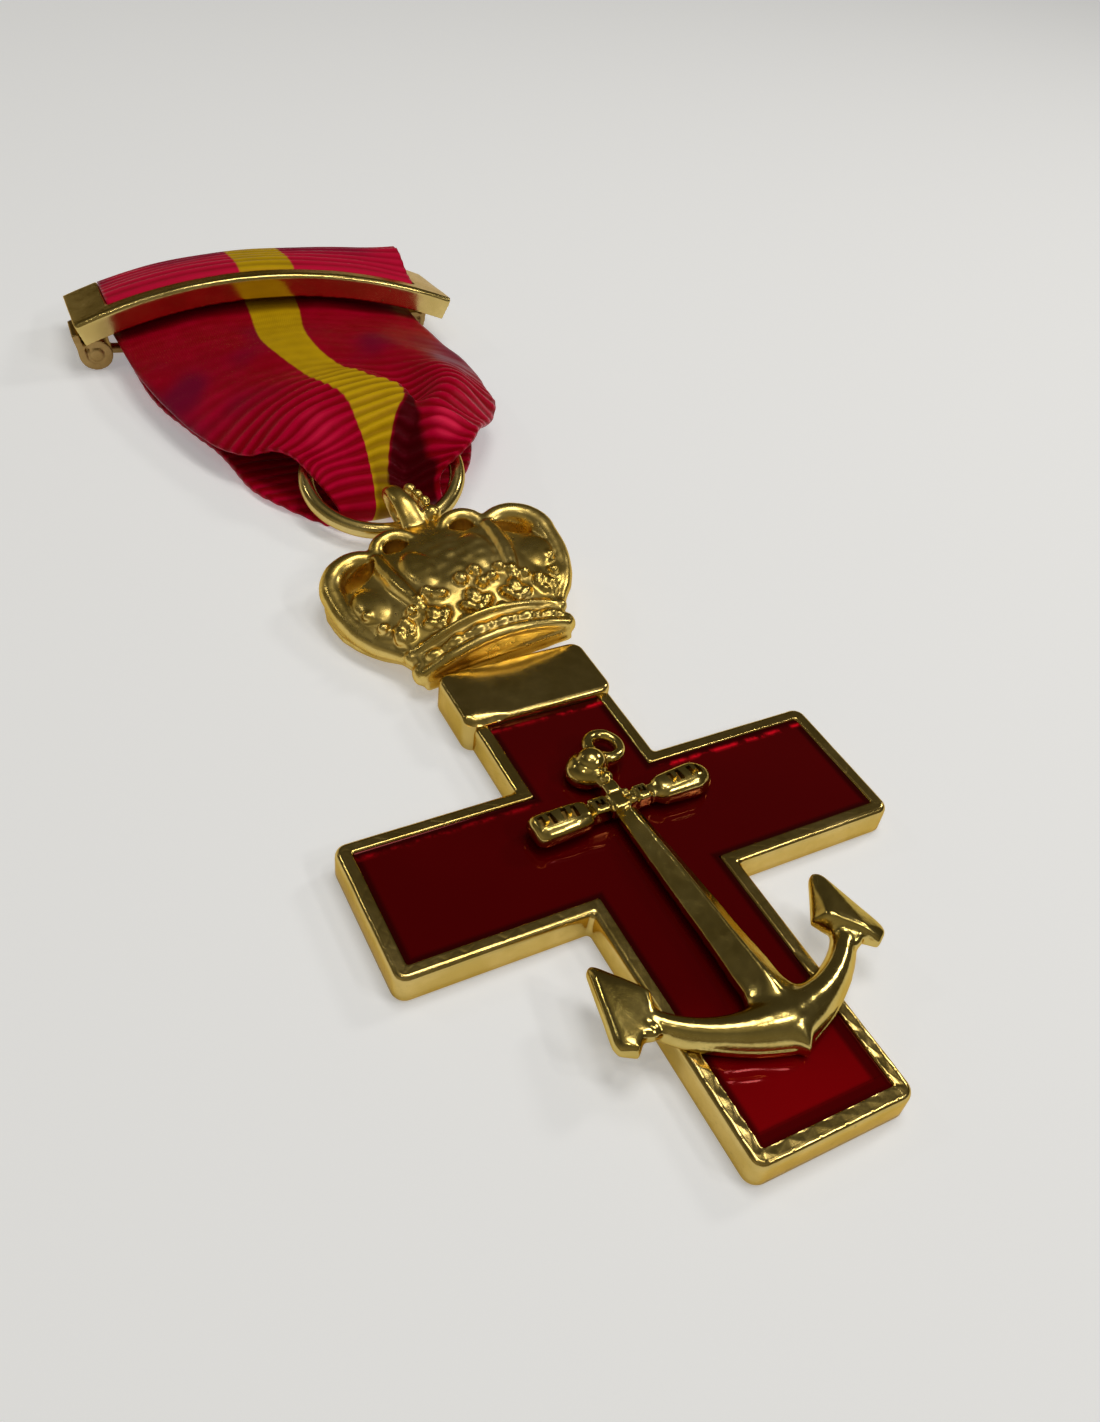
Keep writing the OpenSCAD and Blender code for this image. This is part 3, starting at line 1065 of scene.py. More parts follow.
def dress(
    piece: bpy.types.Object,
    wardrobe: Wardrobe,
    finish: Finish,
    *nodes: str,
    sharp: float | None = None,
) -> bpy.types.Object:
    """Brings a piece to metres, gives it its finish and hands it to the frame.

    Args:
        piece: The piece, in millimetres.
        wardrobe: The materials.
        finish: Its finish.
        nodes: Solids that it stands for.
        sharp: Angle in degrees over which an edge stays sharp.

    Returns:
        The piece.
    """
    piece.data.transform(Matrix.Scale(MM, 4))
    piece.data.materials.clear()
    piece.data.materials.append(wardrobe.materials[finish])
    piece.data.shade_smooth()
    if sharp is not None:
        piece.data.set_sharp_from_angle(angle=math.radians(sharp))
    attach(piece, "root")
    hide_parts(*nodes)
    log.info("%s: %d faces", piece.name, len(piece.data.polygons))
    return piece


# Cross


@dataclass
class Cross:
    """Gilt cross with its rim, its tablet and the enamel in its field."""

    width: float = 30.5
    arm: float = 9.2
    foot: float = 19.4
    head: float = 14.6
    thick: float = 1.9
    rim: float = 0.85
    corner: float = 0.75
    flat_rim: tuple[float, float] = (0.33, 0.76)
    field_z: float = 1.1
    enamel_z: float = 1.75
    tablet: tuple[float, float, float, float] = (-5.1, 4.8, 9.8, 2.35)
    stroke_pitch: float = 1.05
    stroke_depth: float = 0.0162
    stroke_width: float = 0.075 / 0.34
    facet_pitch: float = 1.5
    facet_depths: tuple[float, float] = (0.044, 0.03)
    # Each ripple: height of its line, slope, first and last x, rise and width
    ripples: tuple[tuple[float, ...], ...] = (
        (-15.81, -0.375, -3.4, 0.4, 0.055, 0.09),
        (-16.42, -0.385, -3.6, -1.2, 0.05, 0.09),
        (-15.1, -0.38, -3.3, 1.4, 0.05, 0.16),
        (-0.92, -0.061, -5.4, -1.2, 0.05, 0.1),
        (0.09, -0.104, 2.2, 5.0, 0.05, 0.1),
        (-0.25, -0.12, 2.5, 4.6, 0.045, 0.09),
    )

    def corners(self) -> Points:
        """Corners of the cross, anticlockwise from the foot's right one.

        Returns:
            One row for each corner.
        """
        w, a, f, h = self.width / 2, self.arm / 2, self.foot, self.head
        right = [[a, -f], [a, -a], [w, -a], [w, a], [a, a], [a, h]]
        return np.array(right + [[-x, y] for x, y in right[::-1]])

    def _profile(self) -> list[tuple[float, float]]:
        """Inset and height of each loop, from the back over the rim down into the field.

        Returns:
            Inset and height of each loop.
        """
        top = self.thick
        side = [(0.25, 0.0), (0.08, 0.04), (0.0, 0.2), (0.0, 0.6), (0.0, 1.0), (0.0, 1.4)]
        edge = [(0.015, 1.58), (0.06, 1.72), (0.14, 1.83), (0.25, 1.89)]
        flat = [(inset, top) for inset in np.linspace(*self.flat_rim, 9)]
        inner = [(0.80, top - 0.015), (0.84, top - 0.06), (0.86, top - 0.13)]
        return side + edge + flat + inner + [(0.87, 1.4), (0.87, self.field_z)]

    def frame_piece(self, wardrobe: Wardrobe) -> bpy.types.Object:
        """Builds the cross with its engraved rim and its tablet.

        Args:
            wardrobe: The materials.

        Returns:
            The piece.
        """
        corners = self.corners()
        counts = side_counts(corners, 0.07)
        start, end = self.flat_rim
        loops, shares = [], []
        for inset, z in self._profile():
            radii = max(self.corner - inset, 0.16), 0.18 + 0.25 * max(0.0, 0.4 - inset)
            loops.append(level(rounded_loop(corners, inset, radii, counts), z))
            share = (inset - start) / (end - start) if z == self.thick else -1.0
            shares.append(np.full(len(loops[0]), share))
        piece = Draft().loft(loops).made("cross")
        co = points_of(piece)
        along = np.tile(lengths(loops[0]), len(loops))
        co[:, 2] -= self._strokes(np.concatenate(shares), along, co)
        self._wear(co)
        set_points(piece, co)
        combine(piece, self._tablet(), Combine.JOIN)
        return dress(piece, wardrobe, Finish.CROSS, "cross_frame", sharp=40)

    def _strokes(self, share: Points, along: Points, co: Points) -> Points:
        """Depth of the strokes engraved in the rim: a zigzag that turns into facets on the foot.

        Args:
            share: Place across the rim's top from 0 to 1, or less off it.
            along: Length along the outline.
            co: The points.

        Returns:
            The depth at each point.
        """
        phase = along / self.stroke_pitch
        lively = 0.55 + 0.45 * np.sin(np.floor(phase) * 2.4)
        depth = self.stroke_depth * np.where(phase % 1 < 0.5, 1.0, 0.35) * lively
        off = np.abs(share - 0.06 - 0.88 * zigzag(phase))
        strokes = depth * np.clip(1 - off / self.stroke_width, 0, 1)
        off = share - zigzag(along / self.facet_pitch)
        outer, inner = self.facet_depths
        facets = np.where(off > 0, outer * off, -inner * off)
        on_foot = smooth_step(-co[:, 1], 9.0, 13.0)
        return np.where(share >= 0, strokes * (1 - on_foot) + facets * on_foot, 0.0)

    def _wear(self, co: Points) -> None:
        """Gives the flanks and the edges the gentle waves of a polished casting.

        Args:
            co: The points, which are moved in place.
        """
        x, y, z = co.T
        off = waves(co * [1, 1, 0.4], 7.0, 3) * 0.010 + waves(co, 2.2, 5) * 0.003
        edge = smooth_step(z, 0.1, 0.5) * (1 - smooth_step(z, 1.885, 1.9))
        x += off * edge
        y += np.roll(off, 7) * edge
        z += waves(co, 4.0, 9) * 0.004 * smooth_step(z, 1.5, 1.8)

    def _tablet(self) -> bpy.types.Object:
        """Builds the tablet over the upper arm, with a small slanted flaw at its lower left.

        Returns:
            The tablet, in millimetres.
        """
        x0, x1, y0, top = self.tablet
        y1 = self.head + 0.02
        corners = np.array([[x0, y0], [x1, y0], [x1, y1], [x0, y1]])
        counts = side_counts(corners, 0.16)
        side = [(0.24, 0.01), (0.06, 0.06), (0.0, 0.25), (0.0, 1.0), (0.0, 1.9)]
        edge = [(0.02, 2.08), (0.08, 2.22), (0.18, 2.31), (0.30, 2.345)]
        face = [(inset, top) for inset in (0.36, 0.5, 0.8, 1.2, 1.7, 2.2)]
        loops = []
        for inset, z in side + edge + face:
            radii = max(0.8 - inset, 0.12), 0.1
            loops.append(level(rounded_loop(corners, inset, radii, counts), z))
        tablet = Draft().loft(loops).made("tablet")
        co = points_of(tablet)
        x, y, z = co.T
        flaw = smooth_step(-(y - 10.55 + 0.16 * (x + 4.9)), -0.1, 0.55)
        flaw *= (1 - smooth_step(x, -3.2, -2.4)) * smooth_step(z, 2.0, 2.3)
        z -= 0.3 * flaw
        z += waves(co, 4.0, 21) * 0.008 * (z > 2.3)
        z[:] = np.minimum(z, top + 0.01)
        set_points(tablet, co)
        return tablet

    def _field(self) -> tuple[float, float, float, float]:
        """Half width and half span of the enamel's arms, its lowest and its highest place.

        Returns:
            The four lengths.
        """
        inset = self.rim + 0.03
        half, end = self.arm / 2 - inset, self.width / 2 - inset
        return half, end, inset - self.foot, self.tablet[2] - 0.03

    def _from_rim(self, x: Points, y: Points) -> Points:
        """Distance of each place in the field from its rim.

        Args:
            x: Place across the cross.
            y: Place along it.

        Returns:
            The distance, negative outside the field.
        """
        half, end, low, high = self._field()
        upright = np.minimum(half - np.abs(x), np.minimum(y - low, high - y))
        return np.maximum(upright, np.minimum(half - np.abs(y), end - np.abs(x)))

    def enamel_piece(self, wardrobe: Wardrobe) -> bpy.types.Object:
        """Builds the enamel, drawn up along the rim, with faint ripples round the anchor.

        Args:
            wardrobe: The materials.

        Returns:
            The piece.
        """
        half, end, low, high = self._field()
        xs = graded([-end, -half, half, end], [0.2, 0.14, 0.2])
        stops = [low, -17.2, -13.9, -half, -1.35, 0.2, half, high]
        ys = graded(stops, [0.2, 0.055, 0.2, 0.2, 0.07, 0.2, 0.2])
        x, y = [v.ravel() for v in np.meshgrid(xs, ys)]
        deep = self._from_rim(x, y)
        rise = 0.035 - 0.031 * smooth_step(-y, 9.5, 12.5)
        z = self.enamel_z - 0.02 + rise * np.exp(-deep / 0.12)
        z += self._ripples(x, y) * smooth_step(deep, 0.2, 0.5)
        z += waves(np.c_[x, y, 0 * x], 6.0, 17) * 0.004 * smooth_step(deep, 0.1, 0.5)
        inside = deep.reshape(len(ys), len(xs)) > -1e-6
        piece = plate(np.c_[x, y, z], self.field_z + 0.01, inside).made("enamel_field")
        self._shade_enamel(piece)
        return dress(piece, wardrobe, Finish.ENAMEL, "enamel", sharp=60)

    def _shade_enamel(self, piece: bpy.types.Object) -> None:
        """Stores painted shade by the rim, where the foot is lit and where the enamel gleams.

        Args:
            piece: The enamel, in millimetres.
        """
        half, _, low, high = self._field()
        co = points_of(piece)
        x, y, _ = co.T
        # Painted shade: a band inside the foot's lower and right rim, joined to a dark edge round
        # the rim
        painted_margin_shade = 1 - smooth_step(np.minimum(y - low, half - x), 0.5, 0.95)
        painted_margin_shade *= smooth_step(-y, 11.0, 13.5) * 0.8
        edge = 1 - smooth_step(self._from_rim(x, y), 0.05, 0.6)
        store(piece, "edge", np.maximum(edge, painted_margin_shade))
        lit = smooth_step(-y, 9.5, 17.0) * 0.6 + smooth_step(x, 4.0, 13.0) * 0.08
        store(piece, "lit", np.clip(lit + 0.05 * (waves(co, 9.0, 4) + 0.6), 0, 1))
        below = np.where(np.abs(x) < half + 1e-6, high, half) - y
        store(piece, "gleam", bell(below, 0.4, 0.12) * (0.35 + 0.65 * smooth_step(x, -2.0, 5.0)))

    def _ripples(self, x: Points, y: Points) -> Points:
        """Height of the ripples in the enamel below the anchor's left arm and its stock.

        Args:
            x: Place across the cross.
            y: Place along it.

        Returns:
            The height at each place.
        """
        height = np.zeros(len(x))
        for y0, slope, x0, x1, rise, width in self.ripples:
            off = y - (y0 + slope * x) + 0.04 * np.sin(x * 2.6 + y0)
            span = smooth_step(x, x0, x0 + 0.6) * (1 - smooth_step(x, x1 - 0.8, x1))
            height += rise * bell(off, 0.0, width) * span
        return height


# Anchor


@dataclass
class Anchor:
    """Cast anchor that lies on the rim."""

    at: Place = (0.2, 0.0, 1.92)
    turn: float = 2.0
    stock_y: float = 1.05
    stock_ends: tuple[float, float] = (-5.65, 6.0)
    shank: float = 14.0
    base: float = 0.4
    voxel: float = 0.066
    # Each row of an arm: x and y of its middle, half width and height
    arm_rows: tuple[tuple[float, ...], ...] = (
        (0.0, -0.1, 1.55, 1.75),
        (1.9, 0.25, 1.2, 1.6),
        (3.6, 0.9, 0.9, 1.4),
        (5.1, 1.9, 0.75, 1.25),
        (6.2, 3.2, 0.6, 1.1),
    )
    palm: tuple[tuple[float, float], ...] = (
        (7.05, 6.4), (6.75, 6.62), (6.45, 6.4), (4.75, 4.1),
        (5.1, 3.3), (7.1, 1.42), (7.9, 1.95), (7.98, 2.4),
    )
    ridged_face: tuple[Place, ...] = (
        (6.95, 6.15, 1.1), (5.3, 3.7, 1.62), (6.55, 2.3, 1.5), (7.65, 1.75, 1.0),
    )
    level_face: tuple[Place, ...] = (
        (6.85, 5.95, 1.12), (5.0, 3.95, 1.24), (5.3, 3.3, 1.24), (7.1, 1.65, 1.16),
        (7.6, 2.25, 1.1),
    )
    # Each mark in the stock: x, size and turn in degrees
    marks: tuple[Place, ...] = (
        (-4.75, 1.0, 3), (-3.35, 1.0, -2), (3.5, 0.95, 2), (4.8, 0.9, 4),
        (-1.42, 0.5, 0), (1.3, 0.45, 0),
    )

    def _lump(self, x: float, y: float, w: float, h: float) -> Points:
        """Points of a rounded lump of metal.

        Args:
            x: Place across the anchor.
            y: Place along it.
            w: Half the lump's width.
            h: Its height.

        Returns:
            The points.
        """
        loops = []
        for lat in np.linspace(-0.9, 1.45, 7):
            z = self.base + (h - self.base) * math.sin(lat)
            loops.append(level(circle(20) * w * math.cos(lat) + [x, y], z))
        return np.vstack(loops)

    def _arm(self, draft: Draft, side: int, out: float) -> None:
        """Adds one arm with its lower moulding and its palm.

        Args:
            draft: Where it is gathered.
            side: 1 for the right arm and -1 for the left one.
            out: How far its palm lies outwards.
        """
        foot = -self.shank
        rows = spline(np.arange(5.0), np.array(self.arm_rows), np.linspace(0, 4, 13))
        rows[:, 0] *= side
        rows[:, 1] += foot
        for pair in zip(rows, rows[1:]):
            draft.hull(np.vstack([self._lump(x, y + 0.06, w * 0.93, h) for x, y, w, h in pair]))
            plans = [circle(20) * (w * 0.93 + 0.03) + [x, y + 0.02] for x, y, w, _ in pair]
            draft.hull(np.vstack([level(plan, z) for plan in plans for z in (0.1, 0.5)]))
        face = self.ridged_face if side > 0 else self.level_face
        palm = [(x, y, z) for x, y in self.palm for z in (0.2, 0.78)] + list(face)
        draft.hull([(side * (x + out), foot + y, z) for x, y, z in palm])
        draft.ball((side * (6.15 + out), foot + 2.35, 0.7), (0.72, 0.5, 0.5), side * 40)

    def _bar(self, rows: Sequence[Place]) -> list[Place]:
        """Points of one half of the stock.

        Args:
            rows: Each row's x, half width and height.

        Returns:
            The points.
        """
        points = []
        for x, w, h in rows:
            bevel = [(-w, 0.22), (-w, h - w * 0.38), (-w * 0.46, h)]
            for dy, z in bevel + [(w * 0.6, h), (w, h * 0.6), (w, 0.22)]:
                points.append((x, self.stock_y + dy, z))
        return points

    def _stock(self, draft: Draft) -> None:
        """Adds the stock's two halves, the small blocks between them and the knots above.

        Args:
            draft: Where it is gathered.
        """
        y = self.stock_y
        left, right = self.stock_ends
        tip = [(left, 0.6, 0.95), (left + 0.12, 0.84, 1.2), (left + 0.4, 0.99, 1.4)]
        draft.hull(self._bar(tip + [(-3.2, 0.98, 1.42), (-2.15, 0.85, 1.32)]))
        half = self._bar([(2.15, 0.62, 1.1), (2.45, 0.85, 1.34), (right - 1.2, 1.0, 1.46)])
        draft.hull(half + self._lump(right - 0.95, y, 0.95, 1.42).tolist())
        # Each block: its place from the stock's middle, half width, half depth and height
        blocks = (
            (0.0, 0.0, 2.5, 0.46, 1.02),
            (-1.42, 0.02, 0.52, 0.56, 1.3),
            (-0.25, 0.0, 0.5, 0.6, 1.16),
            (1.28, 0.0, 0.42, 0.52, 1.24),
            (-0.12, 0.95, 0.46, 0.42, 1.2),
        )
        for x, dy, w, d, h in blocks:
            levels = ((1.0, 1.0, 0.25), (1.0, 1.0, h - 0.16), (0.75, 0.72, h))
            draft.hull(
                [
                    (x + a * w * in_x, y + dy + b * d * in_y, z)
                    for in_x, in_y, z in levels
                    for a in (-1, 1)
                    for b in (-1, 1)
                ]
            )
        # Each knot: its place, radius and height
        knots = ((0.5, -0.32, 0.27, 1.05), (0.45, 0.4, 0.22, 1.0), (0.05, 1.75, 0.4, 0.95))
        for x, dy, r, z in knots:
            draft.ball((x, y + dy, z), r)

    def _head(self, draft: Draft) -> None:
        """Adds the ball with its boss and the ring at the anchor's head.

        Args:
            draft: Where it is gathered.
        """
        neck = [(0.0, self.stock_y, 0.5), (0.0, 2.4, 0.55), (-0.2, 3.6, 0.7)]
        draft.tube(neck, [0.6, 0.45, 0.5])
        draft.ball((-0.4, 4.1, 0.45), (1.28, 1.25, 0.95), n=36)
        draft.ball((-0.12, 4.2, 1.1), (0.86, 0.84, 0.66), n=32)
        draft.ring((1.28, 5.08, 0.8), 0.96, (0.38, 0.42), (0.1, 0.0, 1.0), n=56)

    def _shank(self, draft: Draft) -> None:
        """Adds the shank with its ridge and its two long facets, wider at the arms.

        Args:
            draft: Where it is gathered.
        """
        steps, foot = 40, -self.shank
        knots = np.array([0.0, 0.35, 0.8, 0.92, 1.0])
        shape = [[0.6, 1.2], [0.8, 1.42], [1.06, 1.6], [1.22, 1.66], [1.9, 1.56]]
        rows = spline(knots, np.array(shape), np.linspace(0, 1, steps))
        loops = []
        for y, (w, h) in zip(np.linspace(self.stock_y - 0.75, foot + 0.6, steps), rows):
            left = [(-w, y, 0.25), (-w, y, h * 0.5), (w * 0.02, y, h)]
            right = [(w * 0.14, y, h), (w, y, h * 0.62), (w, y, 0.25)]
            loops.append(np.array(left + right)[::-1])
        draft.loft(loops)
        crown, tip = self._lump(0, foot - 0.4, 1.1, 1.58), self._lump(0.05, foot - 1.6, 0.16, 1.0)
        draft.hull(np.vstack([crown, tip]))

    def piece(self, wardrobe: Wardrobe) -> bpy.types.Object:
        """Builds the anchor.

        Args:
            wardrobe: The materials.

        Returns:
            The piece.
        """
        draft = Draft()
        self._arm(draft, 1, 0.0)
        self._arm(draft, -1, 0.35)
        self._stock(draft)
        self._head(draft)
        self._shank(draft)
        piece = draft.made("anchor_casting")
        melt(piece, self.voxel, 2)
        relax(piece, 60, self._soft)
        swell(piece, lambda co: waves(co, 2.2, 12) * 0.008 + waves(co, 0.7, 14) * 0.002, 0.0)
        combine(piece, self._marks(), Combine.CUT)
        store_hollows(piece, 0.12)
        turn = Matrix.Rotation(math.radians(self.turn), 4, "Z")
        piece.data.transform(Matrix.Translation(self.at) @ turn)
        return dress(piece, wardrobe, Finish.CAST, "anchor", sharp=42)

    def _soft(self, co: Points) -> Points:
        """Strength of the softening: most on the arms and where the shank runs into them.

        Args:
            co: The points.

        Returns:
            The strength at each point from 0 to 1.
        """
        x, y, z = co[:, 0], co[:, 1] + self.shank, co[:, 2]
        joint = bell(x, 0.0, 2.6) * bell(y, 0.9, 1.25)
        arms = 0.9 * (np.abs(x) < 5.6) * smooth_step(-(y - np.abs(x) * 0.6), -1.6, 0.4)
        palms = 0.4 * (np.abs(x) > 4.6) * (y < 7.5)
        stock = 0.6 * (np.abs(x) > 2.0) * (y > 12)
        raised = smooth_step(z, 0.55, 0.9)
        return np.clip(np.maximum(joint, arms) * raised + palms + stock + 0.015, 0, 1)

    def _marks(self) -> bpy.types.Object:
        """Builds the cutter of the square marks in the stock, each with a tongue left standing.

        Returns:
            The cutter, in millimetres.
        """
        outside = [(-0.44, -0.4), (0.44, -0.4), (0.44, 0.38), (0.16, 0.38)]
        tongue = [(0.12, -0.08), (-0.1, -0.08), (-0.14, 0.38), (-0.44, 0.38)]
        plan = np.array(outside + tongue)
        draft = Draft()
        for x, size, turn in self.marks:
            top = 1.36 if size > 0.6 else 1.2
            loops = []
            for z, wide in ((top - 0.2, 0.82), (top - 0.04, 0.98), (top + 0.6, 1.5)):
                mark = plan * size * wide
                place = turned(mark, turn) + [x, self.stock_y + 0.04]
                loops.append(level(place, z + 0.12 * mark[:, 1]))
            draft.loft(loops)
        return draft.made("marks")


# Crown


@dataclass
class Crown:
    """Cast royal crown: base band, leaves, pearls, four pierced lobes, orb and loop."""

    at: Place = (-0.25, 14.95, 0.0)
    edge: float = 8.75
    tilt: float = 8.5
    half_base: float = 5.05
    rim: float = 1.2
    dome: float = 3.3
    middle_y: float = 7.0
    dome_y: float = 7.2
    outer_lobe: tuple[float, float] = (5.35, 9.15)
    inner_lobe: tuple[float, float] = (2.4, 10.9)
    voxel: float = 0.1
    flank: tuple[tuple[float, float], ...] = (
        (5.05, 0.0), (5.2, 1.1), (5.25, 2.1), (5.6, 2.9), (6.4, 3.6), (7.1, 4.5), (7.7, 5.5),
        (8.15, 6.6), (8.35, 7.8), (8.4, 9.0), (8.1, 10.2), (7.3, 11.2), (6.2, 11.8), (5.0, 12.2),
        (3.6, 12.6), (2.3, 13.0), (1.0, 13.3),
    )
    # Each leaf's place, turn in degrees and size, then each lobe of a leaf with its radii and turn
    leaves: tuple[tuple[float, ...], ...] = (
        (0.0, 2.6, 0, 1.1),
        (-2.55, 2.65, 14, 1.0),
        (2.55, 2.65, -14, 1.0),
        (-4.6, 2.9, 34, 0.85),
        (4.6, 2.9, -34, 0.85),
    )
    leaf: tuple[tuple[float, ...], ...] = (
        (0.0, 1.1, 0.46, 0.62, 0),
        (-0.6, 0.55, 0.36, 0.52, 38),
        (0.6, 0.55, 0.36, 0.52, -38),
        (0.0, 0.1, 0.42, 0.34, 0),
    )
    pearls: tuple[tuple[float, float], ...] = (
        (2.55, 5.45), (3.25, 5.0), (3.95, 4.5), (4.65, 3.95), (5.3, 3.35),
        (5.95, 4.4), (6.4, 5.9), (1.75, 4.75), (1.25, 2.35),
    )
    # Each stone: its place and radius
    stones: tuple[Place, ...] = (
        (-0.15, 5.35, 0.58), (0.95, 5.7, 0.52), (1.0, 4.6, 0.48), (-2.1, 5.0, 0.42),
        (-0.95, 2.2, 0.4),
    )

    def height(self, x: float, y: float) -> float:
        """Height of the smooth dome at a place."""
        out = (x * x + (y - self.dome_y) ** 2) / (self.edge * self.edge)
        return self.rim + (self.dome - self.rim) * max(0.0, 1 - out)

    def _body(self, draft: Draft) -> None:
        """Adds the domed body with its thick flank and the groove round it.

        Args:
            draft: Where it is gathered.
        """
        right = np.array(self.flank)
        outline = np.vstack([right, right[::-1] * [-1, 1]])
        away = outline - [0, self.middle_y]
        inwards = away / np.linalg.norm(away, axis=1)[:, None]
        groove = ((0.25, 0.0), (0.0, 0.25), (0.05, 0.5), (0.22, 0.62), (0.05, 0.75), (0.0, 1.0))
        loops = [level(outline - inwards * inset, z) for inset, z in groove]
        for share in (0.96, 0.9, 0.8, 0.65, 0.5, 0.35, 0.2, 0.05):
            plan = away * share + [0, self.middle_y]
            loops.append(level(plan, [self.height(x, y) for x, y in plan]))
        draft.loft(loops)

    def _arches(self, draft: Draft) -> None:
        """Adds the four arches over the lobes; the outer ones run on down the flanks.

        Args:
            draft: Where it is gathered.
        """
        steps = 60
        shares = np.linspace(0, 1, steps)
        radii = np.interp(shares, [0, 0.12, 0.3, 0.6, 1], [0.45, 0.7, 0.82, 0.78, 0.6])
        start = [(5.15, 2.2, 1.2), (5.7, 3.1, 1.15), (6.5, 4.2, 1.15)]
        start += [(7.1, 5.5, 1.25), (7.5, 7.0, 1.45), (7.6, 8.2, 1.6)]
        rib = [(4.05, 10.4), (4.0, 9.0), (3.85, 7.4), (3.55, 5.9), (3.2, 4.4)]
        for side in (-1, 1):
            mirror = [side, 1, 1]
            turn = np.radians(np.linspace(-8, 172, 16))
            arch = np.c_[2.25 * np.cos(turn), 2.25 * np.sin(turn), 1.75 + 0.45 * np.sin(turn)]
            path = np.vstack([start, arch + [*self.outer_lobe, 0]]) * mirror
            knots = np.arange(len(path), dtype=float)
            draft.tube(spline(knots, path, shares * knots[-1]), radii)
            turn = np.radians(np.linspace(-25, 200, 18))
            arch = np.c_[1.4 * np.cos(turn), 1.35 * np.sin(turn), 2.2 + 0.35 * np.sin(turn)]
            draft.tube((arch + [*self.inner_lobe, 0]) * mirror, 0.6)
            path = [(side * x, y, self.height(x, y) - 0.08) for x, y in rib]
            draft.tube(path, [0.55, 0.55, 0.58, 0.5, 0.4])
            for x, y, a, b, lean in ((1.9, 7.6, 1.25, 2.2, 8), (5.45, 6.7, 1.45, 1.9, 24)):
                at = side * x, y, self.height(x, y) - 0.3
                draft.ball(at, (a, b, 0.52), -side * lean, n=32)

    def _band(self, draft: Draft) -> None:
        """Adds the base band: its upright front, its two edges and the stones between them.

        Args:
            draft: Where it is gathered.
        """
        xs = np.linspace(0.1 - self.half_base, self.half_base - 0.1, 25)
        draft.tube([(x, 0.32 + 0.004 * x * x, self._bow(x, 2.55)) for x in xs], 0.36)
        draft.tube([(x, 2.1 - 0.006 * x * x, self._bow(x, 3.0)) for x in xs], 0.24)
        for pair in zip(xs, xs[1:]):
            corners = []
            for x in pair:
                corners += [(x, 0.05, 0.1), (x, 0.15, self._bow(x, 2.5))]
                corners += [(x, 2.1, self._bow(x, 2.9)), (x, 2.2, 0.1)]
            draft.hull(corners)
        for x in (-3.9, -2.35, -0.8, 0.8, 2.35, 3.9):
            draft.ball((x, 1.1, self._bow(x, 2.75)), (0.62, 0.38, 0.36), n=24)
            draft.ball((x + 0.78, 1.1, self._bow(x + 0.78, 2.8)), 0.24)
        for side in (-1, 1):
            draft.ball((side * (self.half_base + 0.05), 0.85, 0.9), (0.5, 0.7, 0.65))
            draft.ball((side * (self.half_base + 0.1), 2.0, 1.35), 0.5)

    def _bow(self, x: float, top: float) -> float:
        """Height of the bowed band at a place across it."""
        return top - x * x / 18.0

    def _leaves(self, draft: Draft) -> None:
        """Adds the leaves over the band, the pearls and the stones.

        Args:
            draft: Where it is gathered.
        """
        for x, y, turn, size in self.leaves:
            for dx, dy, a, b, lean in self.leaf:
                px, py = turned(np.array([dx, dy]), turn) * size + [x, y]
                at = px, py, self.height(px, py) + 0.02
                draft.ball(at, (a * size, b * size, 0.42 * size), turn + lean)
        for x, y in self.pearls:
            for side in (-1, 1):
                draft.ball((side * x, y, self.height(x, y) + 0.16), 0.38)
        for x, y, r in self.stones:
            draft.ball((x, y, self.height(x, y) + 0.12), (r * 0.8, r, r * 0.8))

    def _top(self, draft: Draft) -> None:
        """Adds the orb with its small cross and the strap that holds the ring.

        Args:
            draft: Where it is gathered.
        """
        draft.hull([(x, y, z) for x in (-0.8, 0.8) for y in (12.5, 13.9) for z in (0.5, 2.0)])
        draft.ball((1.35, 13.85, 2.2), 0.66, n=28)
        draft.tube([(1.35, 14.2, 2.3), (0.95, 16.3, 2.6)], [0.34, 0.26])
        balls = ((1.3, 14.95, 2.6, 0.42), (1.1, 15.75, 2.7, 0.4), (0.85, 16.5, 2.75, 0.46))
        for x, y, z, r in balls:
            draft.ball((x, y, z), r)
        strap = [(-0.1, 12.9, 1.7), (-0.15, 13.9, 2.55), (-0.25, 14.9, 3.1), (-0.4, 15.9, 3.25)]
        strap += [(-0.5, 16.8, 3.0), (-0.45, 17.4, 2.2), (-0.25, 17.5, 1.2), (-0.1, 17.1, 0.45)]
        strap += [(0.0, 16.2, 0.22), (0.0, 14.8, 0.3), (0.0, 13.2, 0.6)]
        places = np.linspace(0, 10, 50)
        width = np.interp(places, [0, 2, 4.5, 6, 10], [0.95, 0.78, 0.52, 0.5, 0.6])
        path = spline(np.arange(11.0), np.array(strap), places)
        draft.tube(path, width, 0.52, side=(1.0, 0.0, 0.0), n=28)

    def piece(self, wardrobe: Wardrobe) -> bpy.types.Object:
        """Builds the crown.

        Args:
            wardrobe: The materials.

        Returns:
            The piece.
        """
        draft = Draft()
        self._body(draft)
        self._arches(draft)
        self._band(draft)
        self._leaves(draft)
        self._top(draft)
        piece = draft.made("crown_casting")
        melt(piece, self.voxel, 2)
        combine(piece, self._openings(), Combine.CUT)
        melt(piece, self.voxel, 2)
        swell(piece, self._lumps, 0.02)
        store_hollows(piece, 0.16)
        x, y, z = self.at
        tilt = Matrix.Rotation(math.radians(-self.tilt), 4, "Y")
        lift = Matrix.Translation((x - self.edge, y, z)) @ tilt
        piece.data.transform(lift @ Matrix.Translation((self.edge, 0, 0)))
        return dress(piece, wardrobe, Finish.CROWN, "crown")

